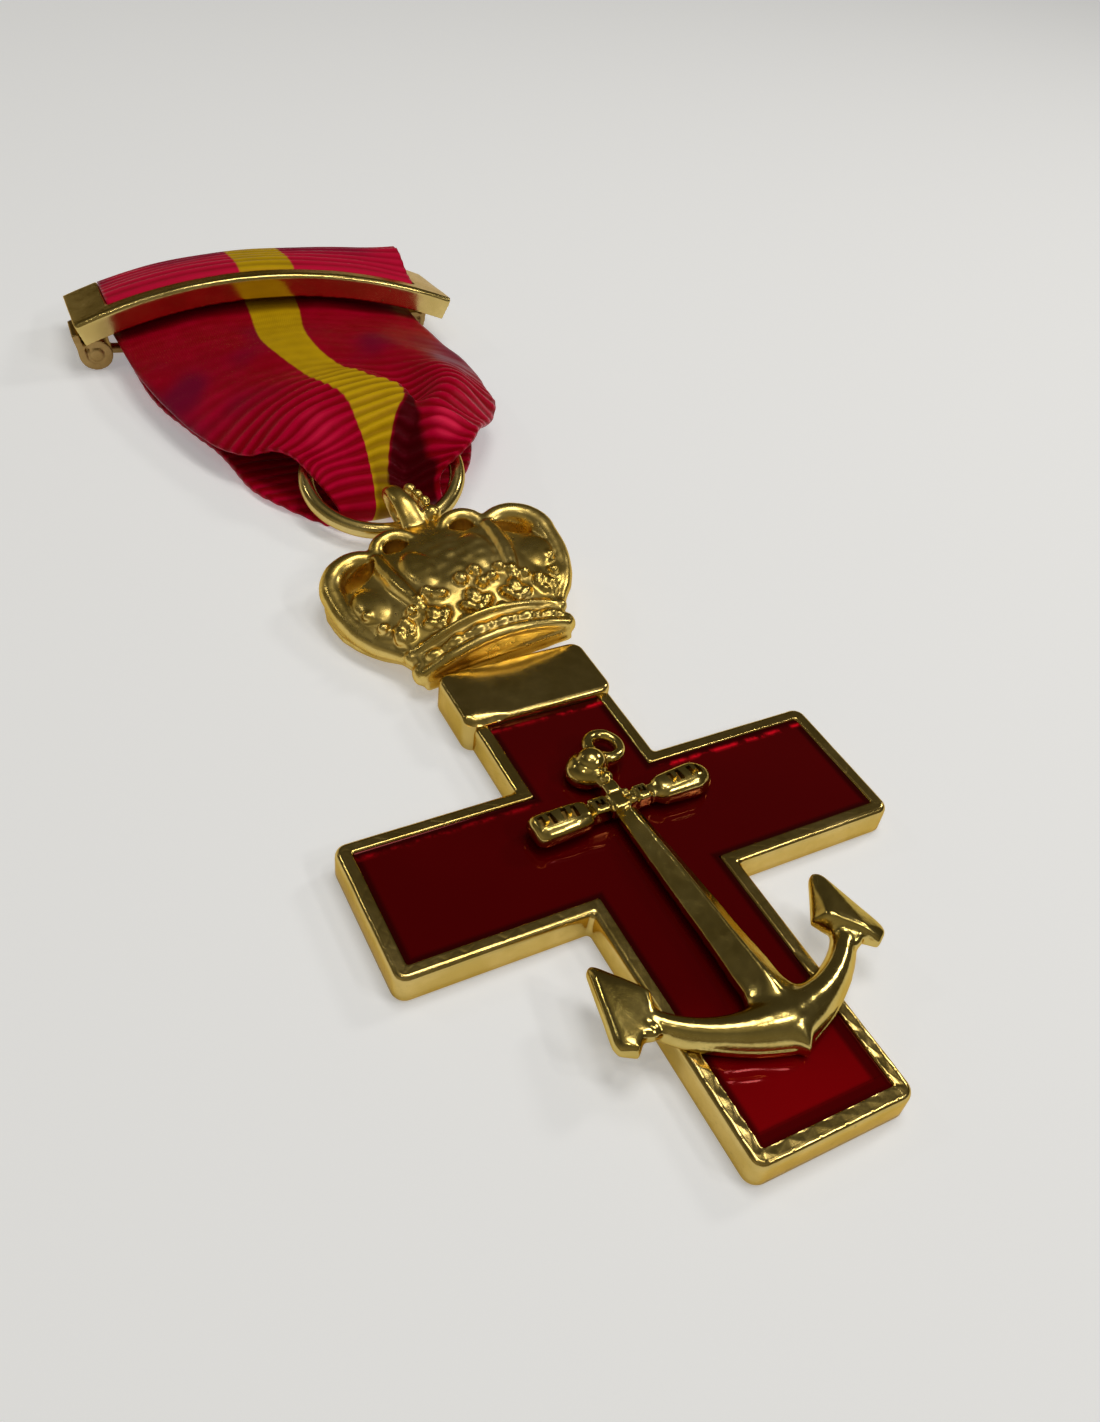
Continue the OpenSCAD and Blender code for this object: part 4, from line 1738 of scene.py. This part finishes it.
    def _lumps(self, co: Points) -> Points:
        """Height of the casting's lumps, with a hammered patch beside the middle."""
        patch = bell(co[:, 0], 0.8, 3.2) * bell(co[:, 1], 8.2, 2.6) * (co[:, 2] > 1.5)
        return waves(co, 1.8, 31) * 0.014 + waves(co, 1.0, 33) * 0.035 * patch

    def _openings(self) -> bpy.types.Object:
        """Builds the cutter of the openings under the arches.

        Returns:
            The cutter, in millimetres.
        """
        draft = Draft()
        for side in (-1, 1):
            for x, y, a, b, turn in ((5.55, 9.75, 1.3, 0.72, -28), (2.4, 11.05, 0.78, 0.62, 0)):
                plan = turned(circle(24) * [a, b], side * turn)
                heights = ((-1, 0.8), (1.0, 0.8), (1.9, 1.0), (6, 1.35))
                draft.loft([level(plan * wide + [side * x, y], z) for z, wide in heights])
        return draft.made("openings")


# Ring


@dataclass
class Ring:
    """Round wire ring through the crown's loop and the ribbon's fold."""

    at: Place = (-0.25, 35.8, 2.85)
    diameter: float = 12.1
    wire: float = 1.15
    slope: float = 12.0
    tilt: float = 8.5

    def piece(self, wardrobe: Wardrobe) -> bpy.types.Object:
        """Builds the ring.

        Args:
            wardrobe: The materials.

        Returns:
            The piece.
        """
        tilt = Matrix.Rotation(math.radians(-self.tilt), 3, "Y")
        axis = tilt @ Matrix.Rotation(math.radians(self.slope), 3, "X") @ Vector(UP)
        half = self.wire / 2
        draft = Draft().ring(self.at, self.diameter / 2 - half, (half, half), axis, n=144)
        piece = draft.made("wire_ring")
        swell(piece, lambda co: waves(co, 3.0, 41) * 0.008)
        return dress(piece, wardrobe, Finish.RING, "ring")


# Ribbon


@dataclass
class Ribbon:
    """One strip of ribbed ribbon, gathered over the ring, through it and back under itself."""

    thick: float = 0.45
    length: float = 61.0
    rib_height: float = 0.068
    across_count: int = 84
    rib_steps: int = 10
    shares: tuple[float, ...] = (0.0, 0.2, 0.416, 0.584, 0.71, 0.85, 1.0)
    # Each gleam: x and y of its middle, its two sizes and its strength
    gleams: tuple[tuple[float, ...], ...] = (
        (5.2, 36.9, 1.3, 1.7, 1.3),
        (8.4, 41.0, 2.0, 3.0, 0.5),
        (-3.6, 39.5, 2.6, 4.0, 0.8),
        (-9.5, 47.0, 2.0, 2.5, 0.4),
    )
    # Each row: y, its slant, its bow, then x and z at each of the shares
    rows: tuple[tuple, ...] = (
        (63.0, -0.07, 0, (-13.5, 2.6), (-7.9, 4.4), (-2.7, 5.3), (1.7, 5.3),
         (4.0, 5.1), (8.0, 4.2), (12.2, 2.5)),
        (60.6, -0.07, 0, (-13.4, 2.6), (-7.9, 3.9), (-2.6, 4.5), (1.6, 4.5),
         (3.9, 4.3), (7.6, 3.7), (12.2, 2.5)),
        (54.0, -0.05, 0, (-13.0, 2.4), (-8.0, 3.7), (-3.2, 4.4), (0.5, 4.5),
         (3.6, 4.2), (8.0, 3.8), (12.9, 2.4)),
        (49.5, -0.02, 0, (-12.1, 2.3), (-7.2, 3.7), (-2.0, 4.4), (1.6, 4.1),
         (4.7, 3.9), (8.9, 4.2), (13.2, 2.5)),
        (45.8, 0, 0, (-11.0, 2.2), (-6.2, 4.3), (-1.5, 5.1), (2.5, 5.1),
         (5.2, 3.9), (8.8, 5.1), (12.7, 2.7)),
        (42.6, 0, 0, (-9.6, 2.4), (-5.2, 4.9), (-0.7, 5.5), (3.9, 5.6),
         (4.9, 3.9), (7.9, 5.6), (12.1, 2.8)),
        (40.9, -0.05, 0, (-8.5, 2.6), (-4.6, 5.1), (-0.7, 5.4), (3.3, 5.7),
         (4.6, 5.1), (6.9, 5.8), (10.8, 3.0)),
        (39.6, -0.1, 0, (-7.4, 3.3), (-4.0, 4.9), (-0.8, 5.1), (2.2, 5.4),
         (3.7, 5.4), (5.8, 5.9), (9.4, 3.7)),
        (38.0, -0.15, 0, (-6.5, 3.8), (-3.4, 4.4), (-0.8, 4.3), (1.1, 4.2),
         (2.5, 4.0), (4.9, 5.7), (8.0, 4.8)),
        (36.0, -0.25, 0, (-5.7, 3.6), (-3.6, 3.3), (-1.0, 3.1), (0.2, 3.0),
         (1.5, 2.4), (3.4, 3.9), (6.0, 5.0)),
        (34.2, -0.15, 0, (-4.5, 2.2), (-3.1, 2.3), (-1.4, 2.3), (-0.2, 2.2),
         (1.0, 2.0), (2.2, 2.5), (3.5, 3.3)),
        (33.2, -0.08, 0.02, (-4.2, 1.4), (-3.0, 1.4), (-1.7, 1.4), (-0.4, 1.4),
         (0.9, 1.4), (2.2, 1.4), (3.5, 1.5)),
        (33.9, 0, 0.02, (-4.6, 0.6), (-3.3, 0.6), (-2.0, 0.6), (-0.5, 0.6),
         (1.0, 0.6), (2.6, 0.6), (4.1, 0.6)),
        (38.2, 0, 0, (-7.8, 0.52), (-5.1, 0.52), (-2.1, 0.52), (0.4, 0.52),
         (2.5, 0.52), (5.0, 0.52), (7.9, 0.52)),
        (46.0, 0, 0, (-9.7, 0.52), (-6.5, 0.52), (-2.5, 0.52), (1.0, 0.52),
         (3.6, 0.52), (7.3, 0.52), (11, 0.52)),
        (54.5, -0.04, 0, (-12.3, 0.6), (-8.0, 0.6), (-2.9, 0.6), (1.4, 0.6),
         (4.2, 0.6), (8.4, 0.6), (12, 0.6)),
        (59.8, -0.07, 0, (-12.8, 1.2), (-8.1, 1.2), (-3.0, 1.2), (1.5, 1.2),
         (4.1, 1.2), (8.2, 1.2), (11.5, 1.2)),
        (61.6, -0.07, 0, (-12.8, 1.3), (-8.1, 1.3), (-3.0, 1.3), (1.5, 1.3),
         (4.1, 1.3), (8.2, 1.3), (11.5, 1.3)),
    )

    def _sections(self, shares: Points) -> Points:
        """Points of each row at some shares of the strip's width.

        Args:
            shares: Flat shares from 0 to 1.

        Returns:
            Row by share by x, y and z.
        """
        sections = []
        for y, slant, bow, *points in self.rows:
            q = spline(np.array(self.shares), np.array(points, float), shares)
            sections.append(np.c_[q[:, 0], y + slant * q[:, 0] + bow * q[:, 0] ** 2, q[:, 1]])
        return np.array(sections)

    def piece(self, wardrobe: Wardrobe) -> bpy.types.Object:
        """Builds the ribbon as cloth with raised ribs.

        Args:
            wardrobe: The materials.

        Returns:
            The piece.
        """
        shares = np.linspace(0, 1, self.across_count + 1)
        sections = self._sections(shares)
        knots = lengths(sections[:, self.across_count // 2])
        count = int(knots[-1] / RIB * self.rib_steps)
        along = np.linspace(0, knots[-1], count + 1)
        sag = smooth_step(along, 5.0, 17.0) * (1 - smooth_step(along, 23.0, 32.0))
        columns = [
            spline(knots, sections[:, k], along + sag * self._sag(share))
            for k, share in enumerate(shares)
        ]
        return self._cloth(np.stack(columns, axis=1), along, shares, wardrobe)

    def _sag(self, share: float) -> float:
        """How far a rib hangs towards the ring at a share of the width, least beside the fold.

        Args:
            share: Share of the width from 0 to 1.

        Returns:
            The length that is added, in millimetres.
        """
        top = 0.6
        if share < top:
            return 4.6 * ((top - share) / top) ** 1.3
        return 3.4 * ((share - top) / (1 - top)) ** 1.2

    def _painted_shade(self, grid: Points, along: Points, shares: Points) -> Points:
        """Painted shade in the fold by the stripe, on its low end and under the rail, from 0 to 1.

        Args:
            grid: Middle of the cloth.
            along: Length at each row of the grid.
            shares: Flat share at each column.

        Returns:
            Rows by columns of shade strengths.
        """
        # Painted shade on the valley wall right of the stripe, on the stripe's low end and under
        # the rail
        down = 46.4 - grid[:, :, 1]
        right = np.interp(down, [4.6, 7.65, 9.3, 11.0, 12.5], [0.60, 0.755, 0.79, 0.83, 0.95])
        left = 0.588 - 0.03 * smooth_step(down, 9.5, 11.5)
        s = shares[None, :]
        fold = smooth_step(s - left, -0.012, 0.02) * (1 - smooth_step(s - right, -0.018, 0.018))
        fold *= smooth_step(down, 3.0, 5.0)
        painted_stripe_shade = 0.62 * smooth_step(down, 8.5, 12.0) * smooth_step(s, 0.40, 0.47)
        fold = np.maximum(fold, painted_stripe_shade * (s < right)) * (along < 33.0)[:, None]
        painted_rail_shadow = smooth_step(grid[:, :, 1] + 0.07 * grid[:, :, 0], 59.3, 60.4)
        return np.maximum(fold, painted_rail_shadow * 0.7)

    def _glow(self, co: Points) -> Points:
        """Where the silk gleams: on the right lobe and on the lower left.

        Args:
            co: The points.

        Returns:
            The strength at each point.
        """
        x, y, z = co.T
        total = sum(k * bell(x, x0, a) * bell(y, y0, b) for x0, y0, a, b, k in self.gleams)
        return total * (z > 2.0)

    def _cloth(
        self, grid: Points, along: Points, shares: Points, wardrobe: Wardrobe
    ) -> bpy.types.Object:
        """Turns a grid of middle points into ribbed cloth.

        Args:
            grid: Middle of the cloth.
            along: Length at each row of the grid.
            shares: Flat share at each column.
            wardrobe: The materials.

        Returns:
            The piece.
        """
        flat = grid.reshape(-1, 3)
        facing = facing_ways(grid)
        folds = (waves(flat, 4.5, 51) * 0.07).reshape(grid.shape[:2])
        hem = 1 - 0.45 * (smooth_step(-shares, -0.012, 0.0) + smooth_step(shares, 0.988, 1.0))
        uneven = 1 + 0.35 * waves(flat, 3.0, 55).reshape(grid.shape[:2])
        crisp = 0.1 + 0.9 * smooth_step(along, 11.0, 19.0)
        wave = np.sin(along * TURN / RIB)[:, None] * self.rib_height * hem * uneven
        wave *= crisp[:, None]
        half = self.thick / 2 * hem
        upper = grid + facing * (folds + half + wave)[:, :, None]
        lower = grid + facing * (folds - half + wave * 0.8)[:, :, None]
        piece = slab(lower, upper).made("gathered_ribbon")
        # Painted shade in the fold and under the rail, and painted gleams, stored for the finish
        fold = self._painted_shade(grid, along, shares)
        glow = self._glow(flat).reshape(fold.shape)
        store_cloth(piece, across=shares, along=along, crisp=crisp, fold=fold, glow=glow)
        dress(piece, wardrobe, Finish.RIBBON, "ribbon")
        return piece


def store_cloth(piece: bpy.types.Object, **values: Points | float) -> None:
    """Stores values at the points of a cloth that was made by slab.

    Args:
        piece: The cloth, in millimetres.
        values: Name to a number, or to values along it, across it or at each point of its grid.
            What lies across it is named across.
    """
    along, across = values["along"], values["across"]
    for name, value in values.items():
        if name != "across" and np.ndim(value) == 1:
            value = value[:, None]
        store(piece, name, np.tile(np.broadcast_to(value, (len(along), len(across))).ravel(), 2))


def spline(knots: Points, values: Points, places: Points) -> Points:
    """Smooth curve through values at uneven knots.

    Args:
        knots: Rising places of the values.
        values: One row for each knot.
        places: Places to read.

    Returns:
        One row for each place.
    """
    values = np.asarray(values, float)
    slopes = np.zeros_like(values)
    steps = np.diff(knots)[:, None]
    rises = np.diff(values, axis=0) / steps
    slopes[1:-1] = (rises[:-1] * steps[1:] + rises[1:] * steps[:-1]) / (steps[1:] + steps[:-1])
    slopes[0], slopes[-1] = rises[0], rises[-1]
    i = np.clip(np.searchsorted(knots, places, side="right") - 1, 0, len(knots) - 2)
    h = steps[i]
    t = (np.asarray(places) - knots[i])[:, None] / h
    t2, t3 = t * t, t * t * t
    return (
        values[i] * (2 * t3 - 3 * t2 + 1)
        + slopes[i] * h * (t3 - 2 * t2 + t)
        + values[i + 1] * (3 * t2 - 2 * t3)
        + slopes[i + 1] * h * (t3 - t2)
    )


def facing_ways(grid: Points) -> Points:
    """Directions that a grid's face looks in, rows along the strip and columns across it.

    Args:
        grid: Rows by columns by x, y and z.

    Returns:
        One direction for each place.
    """
    down = np.gradient(grid, axis=0)
    over = np.gradient(grid, axis=1)
    n = np.cross(down, over)
    return n / np.linalg.norm(n, axis=2)[:, :, None].clip(1e-9)


def slab(lower: Points, upper: Points) -> Draft:
    """Closed shell between a lower and an upper grid.

    Args:
        lower: Rows by columns by x, y and z.
        upper: The same for the upper side.

    Returns:
        A draft with the shell.
    """
    rows, wide = lower.shape[:2]
    below = np.arange(rows * wide).reshape(rows, wide)
    above = below + rows * wide
    strips = (
        (above[:-1, :-1], above[1:, :-1], above[1:, 1:], above[:-1, 1:]),
        (below[:-1, :-1], below[:-1, 1:], below[1:, 1:], below[1:, :-1]),
        (below[:-1, 0], below[1:, 0], above[1:, 0], above[:-1, 0]),
        (below[:-1, -1], above[:-1, -1], above[1:, -1], below[1:, -1]),
        (below[0, :-1], above[0, :-1], above[0, 1:], below[0, 1:]),
        (below[-1, :-1], below[-1, 1:], above[-1, 1:], above[-1, :-1]),
    )
    faces = np.vstack([np.stack(corners, -1).reshape(-1, 4) for corners in strips])
    return Draft().add(np.vstack([lower.reshape(-1, 3), upper.reshape(-1, 3)]), faces)


# Brooch bar


@dataclass
class BroochBar:
    """Bowed bar with its window, the ribbon over the window and the pin behind it."""

    at: Place = (-0.67, 59.75, 4.5)
    pitch: float = 9.7
    yaw: float = -4.0
    width: float = 32.0
    depth: float = 9.45
    bow: float = 44.0
    metal: float = 0.8
    end_block: float = 2.8
    rib_height: float = 0.04
    half_cloth: float = 0.2
    # Angle left free at each end of the window's ribbon, in radians
    free_angle: float = 0.0035
    across_count: int = 96
    rib_steps: int = 14

    def _half_angle(self, inwards: float = 0.0) -> float:
        """Half the bar's angle on its bow, less a width at each end, in radians."""
        return math.asin((self.width / 2 - inwards) / self.bow)

    def _matrix(self) -> Matrix:
        """Place of the bar.

        Returns:
            The matrix from the bar's own directions to the frame's.
        """
        turn = Matrix.Rotation(math.radians(self.yaw), 4, "Z")
        turn = turn @ Matrix.Rotation(math.radians(-self.pitch), 4, "X")
        return Matrix.Translation(self.at) @ turn

    def _bent(
        self, angle: Points | float, radius: Points | float, y: Points | float
    ) -> Points:
        """Points of the bar.

        Args:
            angle: Angle on its bow in radians.
            radius: Distance from the bow's axis.
            y: Depth behind its near edge.

        Returns:
            The points in the bar's own directions.
        """
        low = self.bow * math.cos(self._half_angle())
        angle, radius, y = np.broadcast_arrays(angle, radius, y)
        return np.stack([radius * np.sin(angle), y, radius * np.cos(angle) - low], -1)

    def _rail(
        self, draft: Draft, section: Sequence[tuple[float, float]], a0: float, a1: float, n: int
    ) -> None:
        """Adds a section swept along the bow.

        Args:
            draft: Where it is gathered.
            section: Lift over the bow's radius and depth of its corners.
            a0: Angle at its start.
            a1: Angle at its end.
            n: Number of loops.
        """
        lift, y = np.array(section).T
        draft.loft([self._bent(a, self.bow + lift, y) for a in np.linspace(a0, a1, n)])

    def frame_piece(self, wardrobe: Wardrobe) -> bpy.types.Object:
        """Builds the gilt frame of the bar.

        Args:
            wardrobe: The materials.

        Returns:
            The piece.
        """
        half, window = self._half_angle(), self._half_angle(self.end_block + 0.13)
        wall = half - math.asin(self.metal / self.bow)
        far = self.depth
        near = [(-2.0, 0.5), (-2.0, 1.15), (-0.8, 1.1), (-0.8, 1.9), (-0.1, 1.9)]
        near += [(0.0, 1.8), (0.0, 0.3), (-0.08, 0.1), (-0.3, 0.0)]
        back = [(-1.97, 7.6), (-1.97, far), (-1.31, far), (-1.31, 7.6)]
        block = [(-0.8, 0.7), (-0.8, far), (-0.1, far), (0.0, 9.3), (0.0, 0.7)]
        end = [(-2.0, 0.6), (-2.0, far), (-0.3, far), (-0.3, 0.3)]
        draft = Draft()
        self._rail(draft, near, -half, half, 72)
        self._rail(draft, back, 0.01 - half, half - 0.01, 72)
        for section, start, steps in ((block, window, 8), (end, wall, 4)):
            self._rail(draft, section, -half, -start, steps)
            self._rail(draft, section, start, half, steps)
        piece = draft.made("brooch_bar")
        melt(piece, 0.13, 3)
        swell(piece, lambda co: waves(co, 2.5, 61) * 0.01)
        piece.data.transform(self._matrix())
        return dress(piece, wardrobe, Finish.BAR, "bar_frame")

    def ribbon_piece(self, wardrobe: Wardrobe) -> bpy.types.Object:
        """Builds the ribbon over the window, tucked under the near rail and round the far one.

        Args:
            wardrobe: The materials.

        Returns:
            The piece.
        """
        path = [(1.55, -1.15), (2.0, -0.85), (2.22, -0.35), (2.5, -0.1), (3.6, 0.08)]
        path += [(5.0, 0.1), (6.6, 0.02), (8.2, -0.12), (9.3, -0.32), (9.72, -0.6)]
        path += [(9.8, -1.2), (9.74, -1.9), (9.3, -2.28), (8.3, -2.34)]
        knots = lengths(np.array(path))
        along = np.linspace(0, knots[-1], int(knots[-1] / RIB * self.rib_steps) + 1)
        y, lift = spline(knots, np.array(path), along).T[:, :, None]
        shares = np.linspace(0, 1, self.across_count + 1)
        angle = (2 * shares - 1) * (self._half_angle(self.end_block) - self.free_angle)
        tucked = 1 - 0.55 * smooth_step(-lift, 0.5, 2.0)
        lift = lift + 1.75 * shares**5 * smooth_step(y, 3.0, 9.0) * tucked
        grid = self._bent(angle, self.bow + lift, y)
        wave = np.sin(along * TURN / RIB)[:, None] * self.rib_height
        puff = waves(grid.reshape(-1, 3) * [0.4, 1, 1], 3.0, 71) * 0.04
        facing = -facing_ways(grid)
        middle = grid + facing * (wave + puff.reshape(grid.shape[:2]))[:, :, None]
        half = facing * self.half_cloth
        piece = slab(middle + half, middle - half).made("bar_ribbon_cloth")
        across = 0.008 + 0.97 * shares
        store_cloth(piece, across=across, along=along, crisp=0.5, glow=0.8)
        piece.data.transform(self._matrix())
        dress(piece, wardrobe, Finish.RIBBON, "bar_ribbon")
        return piece

    def pin_piece(self, wardrobe: Wardrobe) -> bpy.types.Object:
        """Builds the pin with its rolled hinge and its catch.

        Args:
            wardrobe: The materials.

        Returns:
            The piece.
        """
        draft = Draft()
        self._roll(draft, -14.5, 1.0, 3.9, 1.4)
        self._roll(draft, 13.6, 3.2, 5.6, 1.1)
        needle = [(-14.3, 0.85), (-10, 0.62), (0, 0.55), (10, 0.55), (13.4, 0.55)]
        draft.tube([(x, 3.3, z) for x, z in needle], [0.42, 0.42, 0.42, 0.4, 0.22])
        piece = draft.made("pin")
        melt(piece, 0.1, 2)
        x, y, _ = self.at
        yaw = Matrix.Rotation(math.radians(self.yaw), 4, "Z")
        piece.data.transform(Matrix.Translation((x, y, 0)) @ yaw)
        return dress(piece, wardrobe, Finish.PIN, "brooch_pin")

    def _roll(self, draft: Draft, x: float, y0: float, y1: float, r: float) -> None:
        """Adds a strip of sheet that comes down from the bar's end and is rolled up.

        Args:
            draft: Where it is gathered.
            x: Middle of the roll.
            y0: Its near end.
            y1: Its far end.
            r: Its radius.
        """
        steps = 40
        turn = np.linspace(math.pi, math.pi * 2.75, steps)
        radius = np.linspace(r, r * 0.86, steps)
        arc = np.c_[radius * np.cos(turn), radius * np.sin(turn)]
        down = [[-(r + 0.35), 1.75], [-(r + 0.25), 1.3], [-(r + 0.05), 0.5]]
        line = np.vstack([down, arc])
        ways = np.gradient(line, axis=0)
        inwards = np.c_[-ways[:, 1], ways[:, 0]] / np.linalg.norm(ways, axis=1)[:, None]
        plan = np.vstack([line, (line + inwards * r * 0.42)[::-1]])
        side = 1 if x < 0 else -1
        loop = np.c_[x + side * plan[:, 0], np.full(len(plan), y0), r + plan[:, 1]]
        draft.loft([loop, loop + [0, y1 - y0, 0]])
        draft.tube([(x, y0 + 0.7, r), (x, y1 - 0.1, r)], r * 0.7)


# Stage


@dataclass
class Studio:
    """Pale floor, soft lights and the camera."""

    focal_px: float = 1164.98
    image: tuple[int, int] = (1100, 1422)
    sensor_mm: float = 36.0
    eye_mm: Place = (-27.97, -33.42, 49.12)
    turn: Place = (2.28829675, -0.497313818, 0.369095206)
    floor_half: float = 3.0
    floor_z: float = -0.00002
    room_light: float = 0.058
    room_low: Colour = (1.0, 0.87, 0.58)
    room_high: Colour = (1.0, 0.92, 0.70)
    lamp_middle: Place = (0.0, 0.022, 0.0)
    lamp_distance: float = 0.32
    lamp_tint: Colour = (1.0, 0.97, 0.92)
    # Each lamp: its direction, radius in millimetres and brightness
    lamps: tuple[tuple[Place, float, float], ...] = (
        ((0.12, 0.06, 0.99), 62, 5.6),
        ((0.80, 0.10, 0.60), 26, 15.0),
        ((0.42, -0.62, 0.62), 17, 22.0),
        ((0.52, -0.48, 0.70), 10, 34.0),
        ((0.30, -0.27, 0.915), 24, 12.0),
        ((-0.30, -0.20, 0.93), 9, 36.0),
        ((-0.55, 0.55, 0.63), 9, 26.0),
    )

    def camera(self) -> None:
        """Places the camera at the photograph's angle."""
        data = bpy.data.cameras.new("camera")
        data.sensor_width = self.sensor_mm
        data.lens = self.focal_px * self.sensor_mm / max(self.image)
        data.clip_start, data.clip_end = 0.001, 20.0
        camera = bpy.data.objects.new("camera", data)
        bpy.context.scene.collection.objects.link(camera)
        axis = Vector(self.turn)
        look = Matrix.Rotation(axis.length, 3, axis.normalized())
        matrix = Matrix([look[0], -look[1], -look[2]]).transposed().to_4x4()
        matrix.translation = Vector(self.eye_mm) * MM
        camera.matrix_world = matrix
        bpy.context.scene.camera = camera

    def floor(self) -> None:
        """Lays the floor under the lowest point."""
        mesh = bpy.data.meshes.new("floor")
        h, z = self.floor_half, self.floor_z
        mesh.from_pydata([(-h, -h, z), (h, -h, z), (h, h, z), (-h, h, z)], [], [range(4)])
        floor = bpy.data.objects.new("floor", mesh)
        floor.data.materials.append(FloorFinish().material())
        bpy.context.scene.collection.objects.link(floor)

    def world(self) -> None:
        """Sets a dim warm room: dark beyond the bar, softly lit overhead and behind the camera."""
        world = bpy.data.worlds.new("room")
        world.use_nodes = True
        bpy.context.scene.world = world
        net = Net(world.node_tree)
        way = net.node("ShaderNodeTexCoord", out="Generated")
        x, y, up = (net.node("ShaderNodeSeparateXYZ", {}, {0: way}, out=k) for k in range(3))
        overhead = up.step(0.80, 0.98) * 0.2
        behind = (y * -0.8 - x * 0.45).step(0.1, 0.9) * up.step(-0.2, 0.3) * 0.13
        beside = (x * -0.9 - y * 0.1).step(0.45, 0.95) * (1 - up.step(0.3, 0.8)) * 0.12
        back = (y * 0.88 - x * 0.45 + up * 0.15).step(0.94, 0.99) * 0.4
        strength = overhead + behind + beside + back + self.room_light
        tone = net.mix(up.step(0.0, 0.8), self.room_low, self.room_high)
        room = net.node("ShaderNodeBackground", {}, {"Color": tone, "Strength": strength})
        net.output("ShaderNodeOutputWorld", room)

    def lights(self) -> None:
        """Hangs the lamps round the piece."""
        for number, (way, radius, brightness) in enumerate(self.lamps):
            data = bpy.data.lights.new(f"lamp_{number}", "AREA")
            data.shape, data.size = "DISK", 2 * radius * MM
            data.energy = brightness * math.pi**2 * (radius * MM) ** 2
            data.color = self.lamp_tint
            lamp = bpy.data.objects.new(f"lamp_{number}", data)
            bpy.context.scene.collection.objects.link(lamp)
            spot = Vector(way).normalized() * self.lamp_distance
            lamp.location = Vector(self.lamp_middle) + spot
            lamp.rotation_euler = spot.to_track_quat("Z", "Y").to_euler()

    def build(self) -> None:
        """Builds the stage."""
        self.camera()
        self.floor()
        self.world()
        self.lights()
        bpy.context.scene.view_settings.view_transform = "Standard"


def main() -> None:
    """Builds the pieces round the frame, in order."""
    logging.basicConfig(level=logging.INFO, format="%(message)s")
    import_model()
    Studio().build()
    wardrobe = Wardrobe()
    cross = Cross()
    cross.frame_piece(wardrobe)
    cross.enamel_piece(wardrobe)
    Anchor().piece(wardrobe)
    Crown().piece(wardrobe)
    Ring().piece(wardrobe)
    bar = BroochBar()
    bar.frame_piece(wardrobe)
    bar.ribbon_piece(wardrobe)
    bar.pin_piece(wardrobe)
    Ribbon().piece(wardrobe)


if __name__ == "__main__":
    main()
